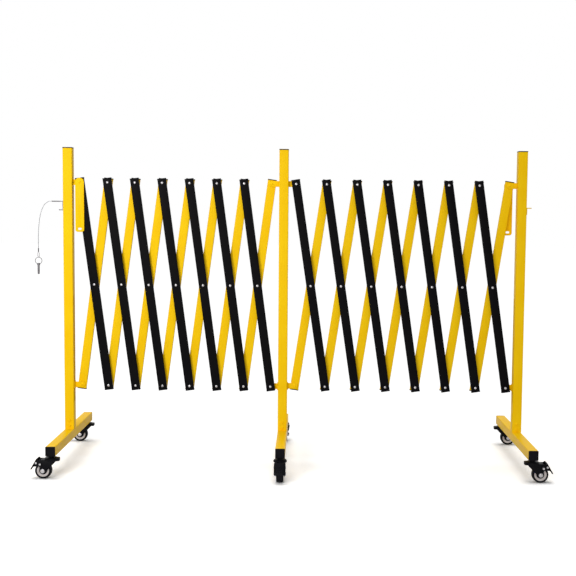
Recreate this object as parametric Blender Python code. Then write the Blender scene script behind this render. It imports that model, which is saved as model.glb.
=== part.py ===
"""Expandable safety barrier on wheeled stands, with one object for each piece. Metres, +Z up.

Three posts on crosswise feet carry two scissor panels of crossed black and yellow slats. Each panel
folds at its rivets: its top end pivots are fixed to the posts, and its bottom ones slide in slots.
The origin is on the floor, midway between the two end posts, and the front faces -Y.
"""

import math

import bmesh
import bpy
from mathutils import Matrix, Vector

# Clearances
RUNNING_GAP = 0.0003  # between faces that slide on each other or almost touch
PIN_CLEARANCE = 0.0006  # between a pin and the wall of its hole, on the radius
EMBED = 0.0005  # how far a welded or riveted piece reaches into what carries it
OVERRUN = 0.002  # how far a cutter runs past the face that it cuts
MERGE_DISTANCE = 0.00001
SHARP_ANGLE = math.radians(32)

# Square steel tube of the posts and feet
TUBE_WIDTH = 0.030
TUBE_WALL = 0.0015
TUBE_CORNER = 0.002
CAP_FLANGE = 0.003
CAP_TAPER = 0.0015
CAP_DEPTH = 0.013  # a cap with its plug, from its outer face

# Slats: closed flat bars with a plastic cap on each end
SLAT_LENGTH = 0.6655  # from the top pivot to the bottom pivot
SLAT_WIDTH = 0.028
SLAT_DEPTH = 0.010
SLAT_OVERHANG = 0.0145  # from an end pivot to the cap's outer face

# Rivets and the washers on them
RIVET_RADIUS = 0.0027
RIVET_HEAD_RADIUS = 0.0048
RIVET_HEAD_HEIGHT = 0.0018
WASHER_RADIUS = 0.0065
WASHER_THICKNESS = 0.0012
CROWN_SHARE = 0.6  # how much of a head's radius stays flat on top
RIVET_SIDES = 6

# Scissor panels
SLAT_PAIRS = 7
POST_DISTANCE = 1.4641  # between the end posts, as the photo shows the panels
LEFT_SPAN_SHARE = 0.4754  # of that distance, from the left post to the centre one
LOW_PIVOT_HEIGHT = 0.2400  # the bottom pivots with the barrier closed
CLOSED_ANGLE = math.radians(3.0)  # each slat from upright when closed
PIVOT_CLEARANCE = 0.0045  # from a post's side to a slat's corner as the slat turns

# Brackets, sliders and latch straps
PLATE_THICKNESS = 0.0025
TAB_HEIGHT = 0.019
TAB_STEPS = 4
SLOT_WIDTH = 0.010
SLOT_LENGTH = 0.350
SLOT_BELOW = 0.050  # from a closed bottom pivot to the slot's lower end
SLOT_STEPS = 3
SHOE_DEPTH = 0.0085
SHOE_WIDTH = 0.020
SHOE_HEIGHT = 0.024
SHOE_CORNER = 0.003
SLIDER_NECK_HEIGHT = 0.016
SLIDER_FLANGE = 0.0022
SLIDER_FLANGE_WIDTH = 0.018
STRAP_WIDTH = 0.028
STRAP_LENGTH = 0.160  # from its pivot to its lower end
STRAP_CLEARANCE = 0.001
STRAP_CORNER = 0.008
STRAP_HOLE_LENGTH = 0.012
STRAP_HOLE_WIDTH = 0.007
STRAP_HOLE_EDGE = 0.0065  # metal left under the latch hole
STRAP_STEPS = 3

# Posts
POST_RISE = 0.1115  # from the top pivots to the top of the cap
BOLT_RADIUS = 0.003
BOLT_HEAD_RADIUS = 0.0055
BOLT_HEAD_HEIGHT = 0.003
BOLT_HEIGHTS = (0.010, 0.028)  # above the foot
BOLT_SIDES = 6
SPIGOT_HEIGHT = 0.055
SPIGOT_CHAMFER = 0.002

# Link hardware that joins one barrier to the next
LINK_DROP = 0.0605  # from the top pivots down to the clevis's upper face
LINK_GAP = 0.0245  # between the clevis's two ears
LINK_THICKNESS = 0.003
LINK_WIDTH = 0.016
LINK_REACH = 0.0155
LINK_HOLE_RADIUS = 0.0042
LINK_TAB_REACH = 0.0175
LINK_TAB_LEG = 0.023
CRIMP_RADIUS = 0.0018
CRIMP_LENGTH = 0.024
LINK_SIDES = 8

# Feet and casters
FOOT_LENGTH = 0.540
STEM_INSET = 0.016  # from a foot's end to its caster's stem
VENT_RADIUS = 0.004
NECK_RADIUS = 0.009
NECK_HEIGHT = 0.0047
KINGPIN_RADIUS = 0.0045
KINGPIN_HEAD_RADIUS = 0.0075
KINGPIN_HEAD_HEIGHT = 0.0022
KINGPIN_SIDES = 8
WHEEL_RADIUS = 0.025
WHEEL_WIDTH = 0.022
WHEEL_SIDES = 16
HUB_SHARES = (0.48, 0.95)  # of the wheel's radius and half width, from hub to tread
RECESS_SHARES = (0.54, 0.78)
RIM_SHARES = (0.78, 1.00)
TREAD_SHARES = (1.00, 0.78)
CASTER_LEAD = 0.0235  # from the swivel axis back to the axle
CROWN_CLEARANCE = 0.005  # over the wheel
CROWN_RADIUS = 0.021
CROWN_HEIGHT = 0.010
CROWN_EDGE = 0.003
CROWN_SIDES = 12
FORK_PLATE = 0.0025
FORK_CLEARANCE = 0.002  # between the wheel and each leg
BRIDGE_HEIGHT = 0.0045
LEG_START_SHARE = 0.55  # where a leg leaves the crown's underside, of the crown's radius
LEG_DROP_SHARE = 0.65  # how far its front edge has come down over the wheel's edge, of the same
AXLE_RADIUS = 0.004
AXLE_NUT_RADIUS = 0.0062
AXLE_NUT_HEIGHT = 0.0032
AXLE_BOSS_RADIUS = 0.0078
AXLE_SIDES = 6

# Brake pedals, with their places from the axle as shares of the wheel's radius
PEDAL_PIVOT_SHARES = (0.30, 0.84)
PEDAL_TOP_SHARES = (0.74, 1.52)
PEDAL_TIP_SHARES = (1.50, 0.20)
PEDAL_CHEEK_SHARES = (0.10, 0.66)  # where the cheeks meet the tread, along it
PEDAL_PLATE = 0.002
PEDAL_EAR_RADIUS = 0.0062
PEDAL_PIN_RADIUS = 0.0025
PEDAL_PIN_HEAD_RADIUS = 0.0038
PEDAL_PIN_HEAD_HEIGHT = 0.0012
BRAKE_CLEARANCE = 0.003  # from the brake shoe to the tyre while the brake is off
BRAKE_LENGTH = 0.008

# Lanyard and lock pin
WIRE_RADIUS = 0.0009
WIRE_STEP = 0.0053
FERRULE_RADIUS = 0.0018
FERRULE_LENGTH = 0.013
EYE_RADIUS = 0.0011
EYE_LENGTH = 0.017
RING_RADIUS = 0.0110
RING_WIRE_RADIUS = 0.0012
RING_SIDES = 12
RING_WIRE_SIDES = 5
PIN_RADIUS = 0.0035
PIN_LENGTH = 0.029
PIN_TIP = 0.002  # the chamfer of its tip and head, and the head's wall over the ring
PIN_HEAD_RADIUS = 0.0048
PIN_HEAD_LENGTH = 0.007
PIN_SIDES = 8

# The wire's route from its upper crimp to its ferrule, from the left post's top pivot line
WIRE_ROUTE = (
    (-0.0548, 0, -0.0620),
    (-0.0590, 0, -0.0621),
    (-0.0660, 0, -0.0636),
    (-0.0735, 0, -0.0683),
    (-0.0800, -0.0004, -0.0762),
    (-0.0852, -0.0010, -0.0865),
    (-0.0892, -0.0016, -0.0985),
    (-0.0922, -0.0021, -0.1115),
    (-0.0944, -0.0025, -0.1255),
    (-0.0960, -0.0028, -0.1400),
    (-0.0971, -0.0030, -0.1550),
    (-0.0977, -0.0031, -0.1700),
    (-0.0980, -0.0031, -0.1850),
    (-0.0981, -0.0031, -0.2000),
    (-0.0981, -0.0031, -0.2130),
)

# Heights that follow from the sizes above
CROWN_UNDERSIDE = 2 * WHEEL_RADIUS + CROWN_CLEARANCE
CROWN_TOP = CROWN_UNDERSIDE + CROWN_HEIGHT
FOOT_UNDERSIDE = CROWN_TOP + RUNNING_GAP + NECK_HEIGHT
FOOT_TOP = FOOT_UNDERSIDE + TUBE_WIDTH
TOP_PIVOT_HEIGHT = LOW_PIVOT_HEIGHT + SLAT_LENGTH * math.cos(CLOSED_ANGLE)
POST_BOTTOM = FOOT_TOP + RUNNING_GAP

# Places across the panels
PIVOT_OFFSET = TUBE_WIDTH / 2 + PIVOT_CLEARANCE + math.hypot(SLAT_WIDTH / 2, SLAT_OVERHANG)
LEFT_SPAN = POST_DISTANCE * LEFT_SPAN_SHARE
RIGHT_SPAN = POST_DISTANCE - LEFT_SPAN
LEFT_PITCH = (LEFT_SPAN - 2 * PIVOT_OFFSET) / SLAT_PAIRS
RIGHT_PITCH = (RIGHT_SPAN - 2 * PIVOT_OFFSET) / SLAT_PAIRS
RIGHT_POST_X = POST_DISTANCE / 2
LEFT_POST_X = -RIGHT_POST_X
CENTRE_POST_X = LEFT_POST_X + LEFT_SPAN

# Layers through the panels, as distances from the plane of the bracket plates
SLAT_FACE = PLATE_THICKNESS / 2 + WASHER_THICKNESS + RUNNING_GAP
SLAT_LAYER = SLAT_FACE + SLAT_DEPTH / 2
HEAD_FACE = SLAT_FACE + SLAT_DEPTH + RUNNING_GAP + RIVET_HEAD_HEIGHT
STRAP_FACE = max(TUBE_WIDTH / 2, HEAD_FACE) + STRAP_CLEARANCE
STRAP_LAYER = STRAP_FACE + PLATE_THICKNESS / 2

YELLOW = "#fbc614"
BLACK = "#161517"
STEEL = "#c9c9cc"
RUBBER = "#1b1b1d"


def linear(colour):
    """An sRGB hex colour as linear red, green and blue."""
    values = [int(colour[start : start + 2], 16) / 255 for start in (1, 3, 5)]
    return [v / 12.92 if v <= 0.04045 else ((v + 0.055) / 1.055) ** 2.4 for v in values]


def finish(name, colour, metallic, roughness):
    """A plain material with one surface finish."""
    material = bpy.data.materials.new(name)
    material.use_nodes = True
    shader = material.node_tree.nodes["Principled BSDF"]
    shader.inputs["Base Color"].default_value = (*linear(colour), 1)
    shader.inputs["Metallic"].default_value = metallic
    shader.inputs["Roughness"].default_value = roughness
    return material


def solid(shape):
    """A working object from a bmesh, with all its faces turned outwards."""
    bmesh.ops.recalc_face_normals(shape, faces=shape.faces)
    mesh = bpy.data.meshes.new("solid")
    shape.to_mesh(mesh)
    shape.free()
    piece = bpy.data.objects.new("solid", mesh)
    bpy.context.scene.collection.objects.link(piece)
    return piece


def block(low, high):
    """A box between two corners."""
    shape = bmesh.new()
    size = Vector(high) - Vector(low)
    middle = (Vector(high) + Vector(low)) / 2
    place = Matrix.Translation(middle) @ Matrix.Diagonal((*size, 1))
    bmesh.ops.create_cube(shape, size=1, matrix=place)
    return solid(shape)


def section(width, depth, corner=0):
    """The outline of a rectangular bar, with chamfered corners where a corner is given."""
    x, y = width / 2, depth / 2
    if not corner:
        return [(x, y), (-x, y), (-x, -y), (x, -y)]
    quarter = [(x, y - corner), (x - corner, y)]
    half = quarter + [(-a, b) for a, b in reversed(quarter)]
    return half + [(-a, -b) for a, b in half]


def loft(*stations):
    """A solid skinned through outlines at rising heights, each with as many points."""
    shape = bmesh.new()
    rings = [
        [shape.verts.new((x, y, height)) for x, y in outline] for height, outline in stations
    ]
    for lower, upper in zip(rings, rings[1:]):
        for side in range(len(lower)):
            after = (side + 1) % len(lower)
            shape.faces.new((lower[side], lower[after], upper[after], upper[side]))
    shape.faces.new(rings[0])
    shape.faces.new(rings[-1])
    return solid(shape)


def plate(outline, low, high, normal="Y"):
    """An outline extruded from low to high along X, where its points are (y, z), or along Y,
    where they are (x, z)."""
    across_y = normal == "Y"
    shape = bmesh.new()
    places = [(a, low, b) if across_y else (low, a, b) for a, b in outline]
    face = shape.faces.new([shape.verts.new(place) for place in places])
    grown = bmesh.ops.extrude_face_region(shape, geom=[face])["geom"]
    moved = [item for item in grown if isinstance(item, bmesh.types.BMVert)]
    along = (0, high - low, 0) if across_y else (high - low, 0, 0)
    bmesh.ops.translate(shape, verts=moved, vec=along)
    return solid(shape)


def turned(profile, sides, axis="Z", centre=(0, 0, 0)):
    """A profile of (radius, distance along the axis) points, turned about X, Y or Z.

    A profile that starts and ends on the axis is solid, and any other one is a closed ring.
    The flats of the turned shape face straight up and down, or straight out on X.
    """
    turn = {
        "X": Matrix.Rotation(math.pi / 2, 4, "Y"),
        "Y": Matrix.Rotation(-math.pi / 2, 4, "X"),
        "Z": Matrix.Identity(4),
    }[axis]
    shape = bmesh.new()
    verts = [shape.verts.new((radius, 0, along)) for radius, along in profile]
    pairs = list(zip(verts, verts[1:]))
    if profile[0][0] > 0:
        pairs.append((verts[-1], verts[0]))
    edges = [shape.edges.new(pair) for pair in pairs]
    bmesh.ops.rotate(shape, verts=verts, matrix=Matrix.Rotation(math.pi / sides, 3, "Z"))
    bmesh.ops.spin(
        shape,
        geom=verts + edges,
        cent=(0, 0, 0),
        axis=(0, 0, 1),
        angle=2 * math.pi,
        steps=sides,
        use_merge=True,
    )
    bmesh.ops.remove_doubles(shape, verts=shape.verts, dist=MERGE_DISTANCE)
    tips = [vert for vert in shape.verts if vert.co.xy.length < MERGE_DISTANCE]
    bmesh.ops.dissolve_verts(shape, verts=tips)
    bmesh.ops.transform(shape, matrix=Matrix.Translation(centre) @ turn, verts=shape.verts)
    return solid(shape)


def rod(radius, low, high, sides, axis="Z", centre=(0, 0, 0)):
    """A plain round bar, or the cutter for a round hole."""
    profile = [(0, low), (radius, low), (radius, high), (0, high)]
    return turned(profile, sides, axis, centre)


def hole_radius(pin, sides):
    """The corners of a hole whose flats clear a pin by the pin clearance."""
    return (pin + PIN_CLEARANCE) / math.cos(math.pi / sides)


def head(radius, height, seat):
    """The end of a profile: a head that sits at the seat and narrows to its flat crown."""
    return [(radius, seat), (radius * CROWN_SHARE, seat + height), (0, seat + height)]


def arc(centre, radius, start, stop, steps):
    """Points on an arc, with the angles in degrees, counted from the first axis."""
    angles = [math.radians(start + (stop - start) * step / steps) for step in range(steps + 1)]
    return [
        (centre[0] + radius * math.cos(angle), centre[1] + radius * math.sin(angle))
        for angle in angles
    ]


def combine(body, tools, operation):
    """Joins the tools to the body, or cuts them out of it, one after another."""
    for tool in tools:
        step = body.modifiers.new("step", "BOOLEAN")
        step.operation = operation
        step.solver = "EXACT"
        step.object = tool
    depsgraph = bpy.context.evaluated_depsgraph_get()
    shape = bpy.data.meshes.new_from_object(body.evaluated_get(depsgraph))
    plain = body.data
    body.modifiers.clear()
    body.data = shape
    bpy.data.meshes.remove(plain)
    for tool in tools:
        bpy.data.meshes.remove(tool.data)
    return body


def join(body, *tools):
    return combine(body, tools, "UNION")


def cut(body, *tools):
    return combine(body, tools, "DIFFERENCE")


def together(*pieces):
    """One working object made of several that stand apart."""
    shape = bmesh.new()
    for piece in pieces:
        shape.from_mesh(piece.data)
        bpy.data.meshes.remove(piece.data)
    return solid(shape)


def finished(body, material):
    """The mesh of a working object, in its material and shaded smooth between sharp edges."""
    mesh = body.data
    mesh.materials.clear()
    mesh.materials.append(material)
    mesh.shade_smooth()
    mesh.set_sharp_from_angle(angle=SHARP_ANGLE)
    bpy.data.objects.remove(body)
    return mesh


def place(name, shape, location, parent=None, turn=(0, 0, 0)):
    """A named piece with this mesh or curve."""
    piece = bpy.data.objects.new(name, shape)
    bpy.context.scene.collection.objects.link(piece)
    piece.parent = parent
    piece.location = location
    piece.rotation_euler = turn
    return piece


def fold_angle(pitch):
    """How far each slat leans from upright when its panel has this pitch."""
    return math.asin(pitch / SLAT_LENGTH)


def rivet(height, side, start, near, far):
    """A washer, shank and far head that hold a neighbour whose faces are at near and far.

    These are distances from the slat's own middle, start is the slat's face, and side is +1
    towards +Y and -1 towards -Y.
    """
    washer, seat = near - RUNNING_GAP, far + RUNNING_GAP
    profile = [
        (0, start - EMBED),
        (WASHER_RADIUS, start - EMBED),
        (WASHER_RADIUS, washer),
        (RIVET_RADIUS, washer),
        (RIVET_RADIUS, seat),
        (RIVET_HEAD_RADIUS, seat),
        (0, seat + RIVET_HEAD_HEIGHT),
    ]
    mirrored = [(radius, side * along) for radius, along in profile]
    return turned(mirrored, RIVET_SIDES, "Y", (0, 0, height))


def rivet_front(height):
    """A rivet's head on the -Y face of the slat that carries it."""
    face = SLAT_DEPTH / 2
    inside = face - EMBED
    top = face + RIVET_HEAD_HEIGHT
    profile = [(0, inside), (RIVET_HEAD_RADIUS, inside), (RIVET_HEAD_RADIUS, face), (0, top)]
    mirrored = [(radius, -along) for radius, along in profile]
    return turned(mirrored, RIVET_SIDES, "Y", (0, 0, height))


def slat(kinds, origin, colour, material):
    """A slat's mesh, with what is at each of its top, middle and bottom pivots.

    A pivot is a hole, a rivet through the crossing slat, a tab rivet through a bracket or slider,
    or a strap rivet, which carries a latch strap too. The origin is how far the object's own pivot
    lies below the top one. Neighbours lie on the +Y side of a black slat, and a yellow one is the
    same shape turned about.
    """
    side, face = SLAT_WIDTH / 2, SLAT_DEPTH / 2
    bar = block((-side, -face, -SLAT_LENGTH - SLAT_OVERHANG), (side, face, SLAT_OVERHANG))
    partner = face + 2 * SLAT_FACE
    tab = face + SLAT_FACE - PLATE_THICKNESS / 2
    strap = STRAP_FACE - SLAT_LAYER
    holes, rivets = [], []
    for height, kind in zip((0, -SLAT_LENGTH / 2, -SLAT_LENGTH), kinds):
        if kind == "hole":
            radius = hole_radius(RIVET_RADIUS, RIVET_SIDES)
            reach = face + OVERRUN
            holes.append(rod(radius, -reach, reach, RIVET_SIDES, "Y", (0, 0, height)))
            continue
        if kind == "rivet":
            rivets.append(rivet(height, 1, face, partner, partner + SLAT_DEPTH))
        else:
            rivets.append(rivet(height, 1, face, tab, tab + PLATE_THICKNESS))
        if kind == "strap rivet":
            rivets.append(rivet(height, -1, face, strap, strap + PLATE_THICKNESS))
        else:
            rivets.append(rivet_front(height))
    cut(join(bar, together(*rivets)), together(*holes))
    turn = Matrix.Rotation(math.pi, 4, "Z") if colour == "yellow" else Matrix.Identity(4)
    bar.data.transform(turn @ Matrix.Translation((0, 0, origin)))
    return finished(bar, material)


def pivot_kinds(colour, number, side):
    """What a slat has at its top, middle and bottom pivots, by its place in the panel.

    Black slats carry the end rivets, and yellow ones the middle rivet. The slats next to a post
    are riveted to its bracket or slider.
    """
    if colour == "black":
        top, middle, bottom = "rivet", "hole", "rivet"
        top_post, bottom_post, outer_side = 1, SLAT_PAIRS, "left"
    else:
        top, middle, bottom = "hole", "rivet", "hole"
        top_post, bottom_post, outer_side = SLAT_PAIRS, 1, "right"
    if number == top_post:
        top = "strap rivet" if side == outer_side else "tab rivet"
    if number == bottom_post:
        bottom = "tab rivet"
    return top, middle, bottom


def panel(side, start_x, pitch, finishes):
    """One scissor panel: pairs of crossed slats from its left post to its right one.

    Its chain of pivots starts at the centre post's bracket: on the right panel with the first
    black slat, and on the left one with the last yellow slat. The slats of that colour turn about
    their top pivots, and the others about their middles.
    """
    angle = fold_angle(pitch)
    carrier = place(f"{side}_panel", None, (0, 0, TOP_PIVOT_HEIGHT))
    carrier.hide_render = True
    turns_at_top = "black" if side == "right" else "yellow"
    meshes = {}
    for number in range(1, SLAT_PAIRS + 1):
        for colour, lean, top_x in (
            ("black", 1, start_x + (number - 1) * pitch),
            ("yellow", -1, start_x + number * pitch),
        ):
            origin = 0 if colour == turns_at_top else SLAT_LENGTH / 2
            kinds = pivot_kinds(colour, number, side)
            if (colour, kinds) not in meshes:
                meshes[colour, kinds] = slat(kinds, origin, colour, finishes[colour])
            place(
                f"{side}_{colour}_slat_{number}",
                meshes[colour, kinds],
                (
                    top_x + lean * origin * math.sin(angle),
                    -lean * SLAT_LAYER,
                    -origin * math.cos(angle),
                ),
                carrier,
                (0, -lean * angle, 0),
            )


def tab(start, pivot, side=1):
    """A flat tab from start to a pivot, with a rivet hole and a round end about it."""
    half, reach = TAB_HEIGHT / 2, PLATE_THICKNESS / 2
    outline = [(start, -half), *arc((pivot, 0), half, -90, 90, TAB_STEPS), (start, half)]
    shape = plate([(side * x, z) for x, z in outline], -reach, reach)
    return cut(shape, rivet_hole(side * pivot))


def rivet_hole(x):
    """The cutter for a rivet's hole through a plate in the panel's plane."""
    radius = hole_radius(RIVET_RADIUS, RIVET_SIDES)
    reach = PLATE_THICKNESS / 2 + OVERRUN
    return rod(radius, -reach, reach, RIVET_SIDES, "Y", (x, 0, 0))


def slot_cutter(side):
    """A slot with round ends in a post's side wall, from the top pivots' height."""
    radius = SLOT_WIDTH / 2
    low = LOW_PIVOT_HEIGHT - SLOT_BELOW - TOP_PIVOT_HEIGHT
    outline = arc((0, low + radius), radius, 180, 360, SLOT_STEPS)
    outline += arc((0, low + SLOT_LENGTH - radius), radius, 0, 180, SLOT_STEPS)
    inner = side * (TUBE_WIDTH / 2 - TUBE_WALL - OVERRUN)
    outer = side * (TUBE_WIDTH / 2 + OVERRUN)
    return plate(outline, inner, outer, "X")


def post_bolt(height):
    """A bolt through post and spigot, from its front head to its nut behind."""
    face = TUBE_WIDTH / 2
    front = [(BOLT_RADIUS, face - EMBED), (BOLT_HEAD_RADIUS, face - EMBED)]
    front += head(BOLT_HEAD_RADIUS, BOLT_HEAD_HEIGHT, face)
    behind = [(radius, -along) for radius, along in reversed(front)]
    return turned(behind + front, BOLT_SIDES, "Y", (0, 0, height))


def link_hole(x, low, high):
    """The cutter for the lock pin's upright hole."""
    return rod(LINK_HOLE_RADIUS, low - OVERRUN, high + OVERRUN, LINK_SIDES, "Z", (x, 0, 0))


def link_clevis():
    """Two ears on a web, bent from plate, and the wire's crimp on the upper ear.

    Its heights are from the top pivots.
    """
    wall = -TUBE_WIDTH / 2
    top = -LINK_DROP
    bottom = top - 2 * LINK_THICKNESS - LINK_GAP
    web, tip = wall - LINK_THICKNESS, wall - LINK_REACH
    outline = [
        (wall + EMBED, bottom),
        (wall + EMBED, top),
        (tip, top),
        (tip, top - LINK_THICKNESS),
        (web, top - LINK_THICKNESS),
        (web, bottom + LINK_THICKNESS),
        (tip, bottom + LINK_THICKNESS),
        (tip, bottom),
    ]
    clevis = plate(outline, -LINK_WIDTH / 2, LINK_WIDTH / 2)
    middle = (0, 0, top - LINK_THICKNESS / 2)
    join(clevis, rod(CRIMP_RADIUS, tip - CRIMP_LENGTH, tip + EMBED, LINK_SIDES, "X", middle))
    return cut(clevis, link_hole((web + tip) / 2, bottom, top))


def link_tab():
    """An angle whose level leg fits between the ears of the next barrier's clevis."""
    wall = TUBE_WIDTH / 2
    top = -LINK_DROP - LINK_THICKNESS - LINK_GAP / 4
    bottom = top - LINK_TAB_LEG
    web, tip = wall + LINK_THICKNESS, wall + LINK_TAB_REACH
    outline = [
        (wall - EMBED, top),
        (wall - EMBED, bottom),
        (web, bottom),
        (web, top - LINK_THICKNESS),
        (tip, top - LINK_THICKNESS),
        (tip, top),
    ]
    angle = plate(outline, -LINK_WIDTH / 2, LINK_WIDTH / 2)
    return cut(angle, link_hole((web + tip) / 2, top - LINK_THICKNESS, top))


def post(material, sides, *link):
    """A square post with its cap, brackets, slots, base bolts and any link hardware.

    Its origin is at the height of the top pivots, and sides says which faces carry a panel.
    """
    bottom = POST_BOTTOM - TOP_PIVOT_HEIGHT
    whole = section(TUBE_WIDTH, TUBE_WIDTH, TUBE_CORNER)
    top_width = TUBE_WIDTH - 2 * CAP_TAPER
    top = section(top_width, top_width, TUBE_CORNER)
    tube = loft((bottom, whole), (POST_RISE - CAP_FLANGE, whole), (POST_RISE, top))
    bore = TUBE_WIDTH / 2 - TUBE_WALL
    hollow = block((-bore, -bore, bottom - OVERRUN), (bore, bore, POST_RISE - CAP_DEPTH))
    cut(tube, hollow, *[slot_cutter(side) for side in sides])
    bolts = [post_bolt(FOOT_TOP + height - TOP_PIVOT_HEIGHT) for height in BOLT_HEIGHTS]
    brackets = [tab(TUBE_WIDTH / 2 - EMBED, PIVOT_OFFSET, side) for side in sides]
    return finished(join(tube, together(*bolts, *brackets, *link)), material)


def foot(material):
    """A crosswise foot: a capped tube with the post's spigot and the casters' kingpins.

    Its origin is its middle.
    """
    end, face = FOOT_LENGTH / 2, TUBE_WIDTH / 2
    whole = section(TUBE_WIDTH, TUBE_WIDTH, TUBE_CORNER)
    end_width = TUBE_WIDTH - 2 * CAP_TAPER
    tip = section(end_width, end_width, TUBE_CORNER)
    tube = loft((-end, tip), (CAP_FLANGE - end, whole), (end - CAP_FLANGE, whole), (end, tip))
    tube.data.transform(Matrix.Rotation(-math.pi / 2, 4, "X"))
    bore, depth = face - TUBE_WALL, end - CAP_DEPTH
    cut(tube, block((-bore, -depth, -bore), (bore, depth, bore)))
    cut(tube, rod(VENT_RADIUS, -face - OVERRUN, 0, KINGPIN_SIDES))

    width = 2 * (bore - RUNNING_GAP)
    narrow = section(width - 2 * SPIGOT_CHAMFER, width - 2 * SPIGOT_CHAMFER)
    top = face + SPIGOT_HEIGHT
    spigot = loft(
        (face - EMBED, section(width, width)),
        (top - SPIGOT_CHAMFER, section(width, width)),
        (top, narrow),
    )
    radius = hole_radius(BOLT_RADIUS, BOLT_SIDES)
    holes = [
        rod(radius, -face, face, BOLT_SIDES, "Y", (0, 0, face + height)) for height in BOLT_HEIGHTS
    ]
    cut(spigot, together(*holes))
    stem = end - STEM_INSET
    return finished(join(tube, together(spigot, kingpin(stem), kingpin(-stem))), material)


def kingpin(along):
    """A caster's neck and kingpin under a foot, with the head that holds the fork's crown."""
    under_foot = -TUBE_WIDTH / 2
    neck = under_foot - NECK_HEIGHT
    seat = neck - CROWN_HEIGHT - 2 * RUNNING_GAP
    profile = [
        (0, under_foot + EMBED),
        (NECK_RADIUS, under_foot + EMBED),
        (NECK_RADIUS, neck),
        (KINGPIN_RADIUS, neck),
        (KINGPIN_RADIUS, seat),
        (KINGPIN_HEAD_RADIUS, seat),
        (KINGPIN_HEAD_RADIUS, seat - KINGPIN_HEAD_HEIGHT),
        (0, seat - KINGPIN_HEAD_HEIGHT),
    ]
    return turned(profile, KINGPIN_SIDES, "Z", (0, along, 0))


def slider(material):
    """A bottom bracket for a slot on a post's +X side: its shoe, neck, flange and tab.

    Its origin is its pivot.
    """
    wall = TUBE_WIDTH / 2 - PIVOT_OFFSET
    shoe_face = wall - TUBE_WALL - RUNNING_GAP
    flange = wall + RUNNING_GAP
    flange_face = flange + SLIDER_FLANGE
    shoe = section(SHOE_WIDTH, SHOE_HEIGHT, SHOE_CORNER)
    body = plate(shoe, shoe_face - SHOE_DEPTH, shoe_face, "X")
    neck = section(SLOT_WIDTH - 2 * RUNNING_GAP, SLIDER_NECK_HEIGHT)
    rim = section(SLIDER_FLANGE_WIDTH, SHOE_HEIGHT)
    join(
        body,
        plate(neck, shoe_face - EMBED, flange + EMBED, "X"),
        plate(rim, flange, flange_face, "X"),
        tab(flange_face - EMBED, 0),
    )
    return finished(body, material)


def latch_strap(material):
    """A flat strap that hangs from its pivot, with its latch hole near its lower end."""
    half, corner, low = STRAP_WIDTH / 2, STRAP_CORNER, -STRAP_LENGTH
    thick = PLATE_THICKNESS / 2
    outline = arc((0, 0), half, 0, 180, 2 * STRAP_STEPS)
    outline += arc((corner - half, low + corner), corner, 180, 270, STRAP_STEPS)
    outline += arc((half - corner, low + corner), corner, 270, 360, STRAP_STEPS)
    radius = STRAP_HOLE_WIDTH / 2
    centre = low + STRAP_HOLE_EDGE + radius
    run = STRAP_HOLE_LENGTH / 2 - radius
    hole = arc((run, centre), radius, -90, 90, STRAP_STEPS)
    hole += arc((-run, centre), radius, 90, 270, STRAP_STEPS)
    latch = plate(hole, -thick - OVERRUN, thick + OVERRUN)
    return finished(cut(plate(outline, -thick, thick), latch, rivet_hole(0)), material)


def from_axle(shares):
    """A place beside the wheel, given from its axle in shares of the wheel's radius."""
    return Vector((CASTER_LEAD, WHEEL_RADIUS)) + WHEEL_RADIUS * Vector(shares)


def fork(material):
    """A stamped fork: the round crown, a bridge and two legs with the axle and pedal pins.

    Its origin is on the swivel axis at the floor, and it trails towards +X.
    """
    low, high = CROWN_UNDERSIDE, CROWN_TOP
    bore = hole_radius(KINGPIN_RADIUS, CROWN_SIDES)
    crown = turned(
        [
            (bore, low),
            (CROWN_RADIUS, low),
            (CROWN_RADIUS, high - CROWN_EDGE),
            (CROWN_RADIUS - CROWN_EDGE, high),
            (bore, high),
        ],
        CROWN_SIDES,
    )
    inner = WHEEL_WIDTH / 2 + FORK_CLEARANCE
    outer = inner + FORK_PLATE
    axle = from_axle((0, 0))
    pivot = from_axle(PEDAL_PIVOT_SHARES)
    bridge_top = low + BRIDGE_HEIGHT
    bridge_start = KINGPIN_HEAD_RADIUS + PIN_CLEARANCE
    side = inner + EMBED
    bridge = block((bridge_start, -side, low), (pivot.x, side, bridge_top))
    leg = [
        (-CROWN_RADIUS * LEG_START_SHARE, low),
        (CASTER_LEAD - WHEEL_RADIUS, low - CROWN_RADIUS * LEG_DROP_SHARE),
        *arc(axle, AXLE_BOSS_RADIUS, 165, 375, 4),
        *arc(pivot, PEDAL_EAR_RADIUS, -20, 60, 2),
        (pivot.x, bridge_top),
        (-CROWN_RADIUS * LEG_START_SHARE, bridge_top),
    ]
    legs = [plate(leg, inner, outer), plate(leg, -outer, -inner)]
    nut = outer + AXLE_NUT_HEIGHT
    end = [
        (AXLE_RADIUS, outer - EMBED),
        (AXLE_NUT_RADIUS, outer - EMBED),
        (AXLE_NUT_RADIUS, nut),
        (0, nut),
    ]
    other = [(radius, -along) for radius, along in reversed(end)]
    bolt = turned(other + end, AXLE_SIDES, "Y", (axle.x, 0, axle.y))
    seat = outer + 2 * RUNNING_GAP + PEDAL_PLATE
    pin = [
        (0, outer - EMBED),
        (PEDAL_PIN_RADIUS, outer - EMBED),
        (PEDAL_PIN_RADIUS, seat),
        (PEDAL_PIN_HEAD_RADIUS, seat),
        (0, seat + PEDAL_PIN_HEAD_HEIGHT),
    ]
    centre = (pivot.x, 0, pivot.y)
    pins = [
        turned([(radius, way * along) for radius, along in pin], AXLE_SIDES, "Y", centre)
        for way in (1, -1)
    ]
    return finished(join(crown, bridge, together(*legs), together(bolt, *pins)), material)


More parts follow.
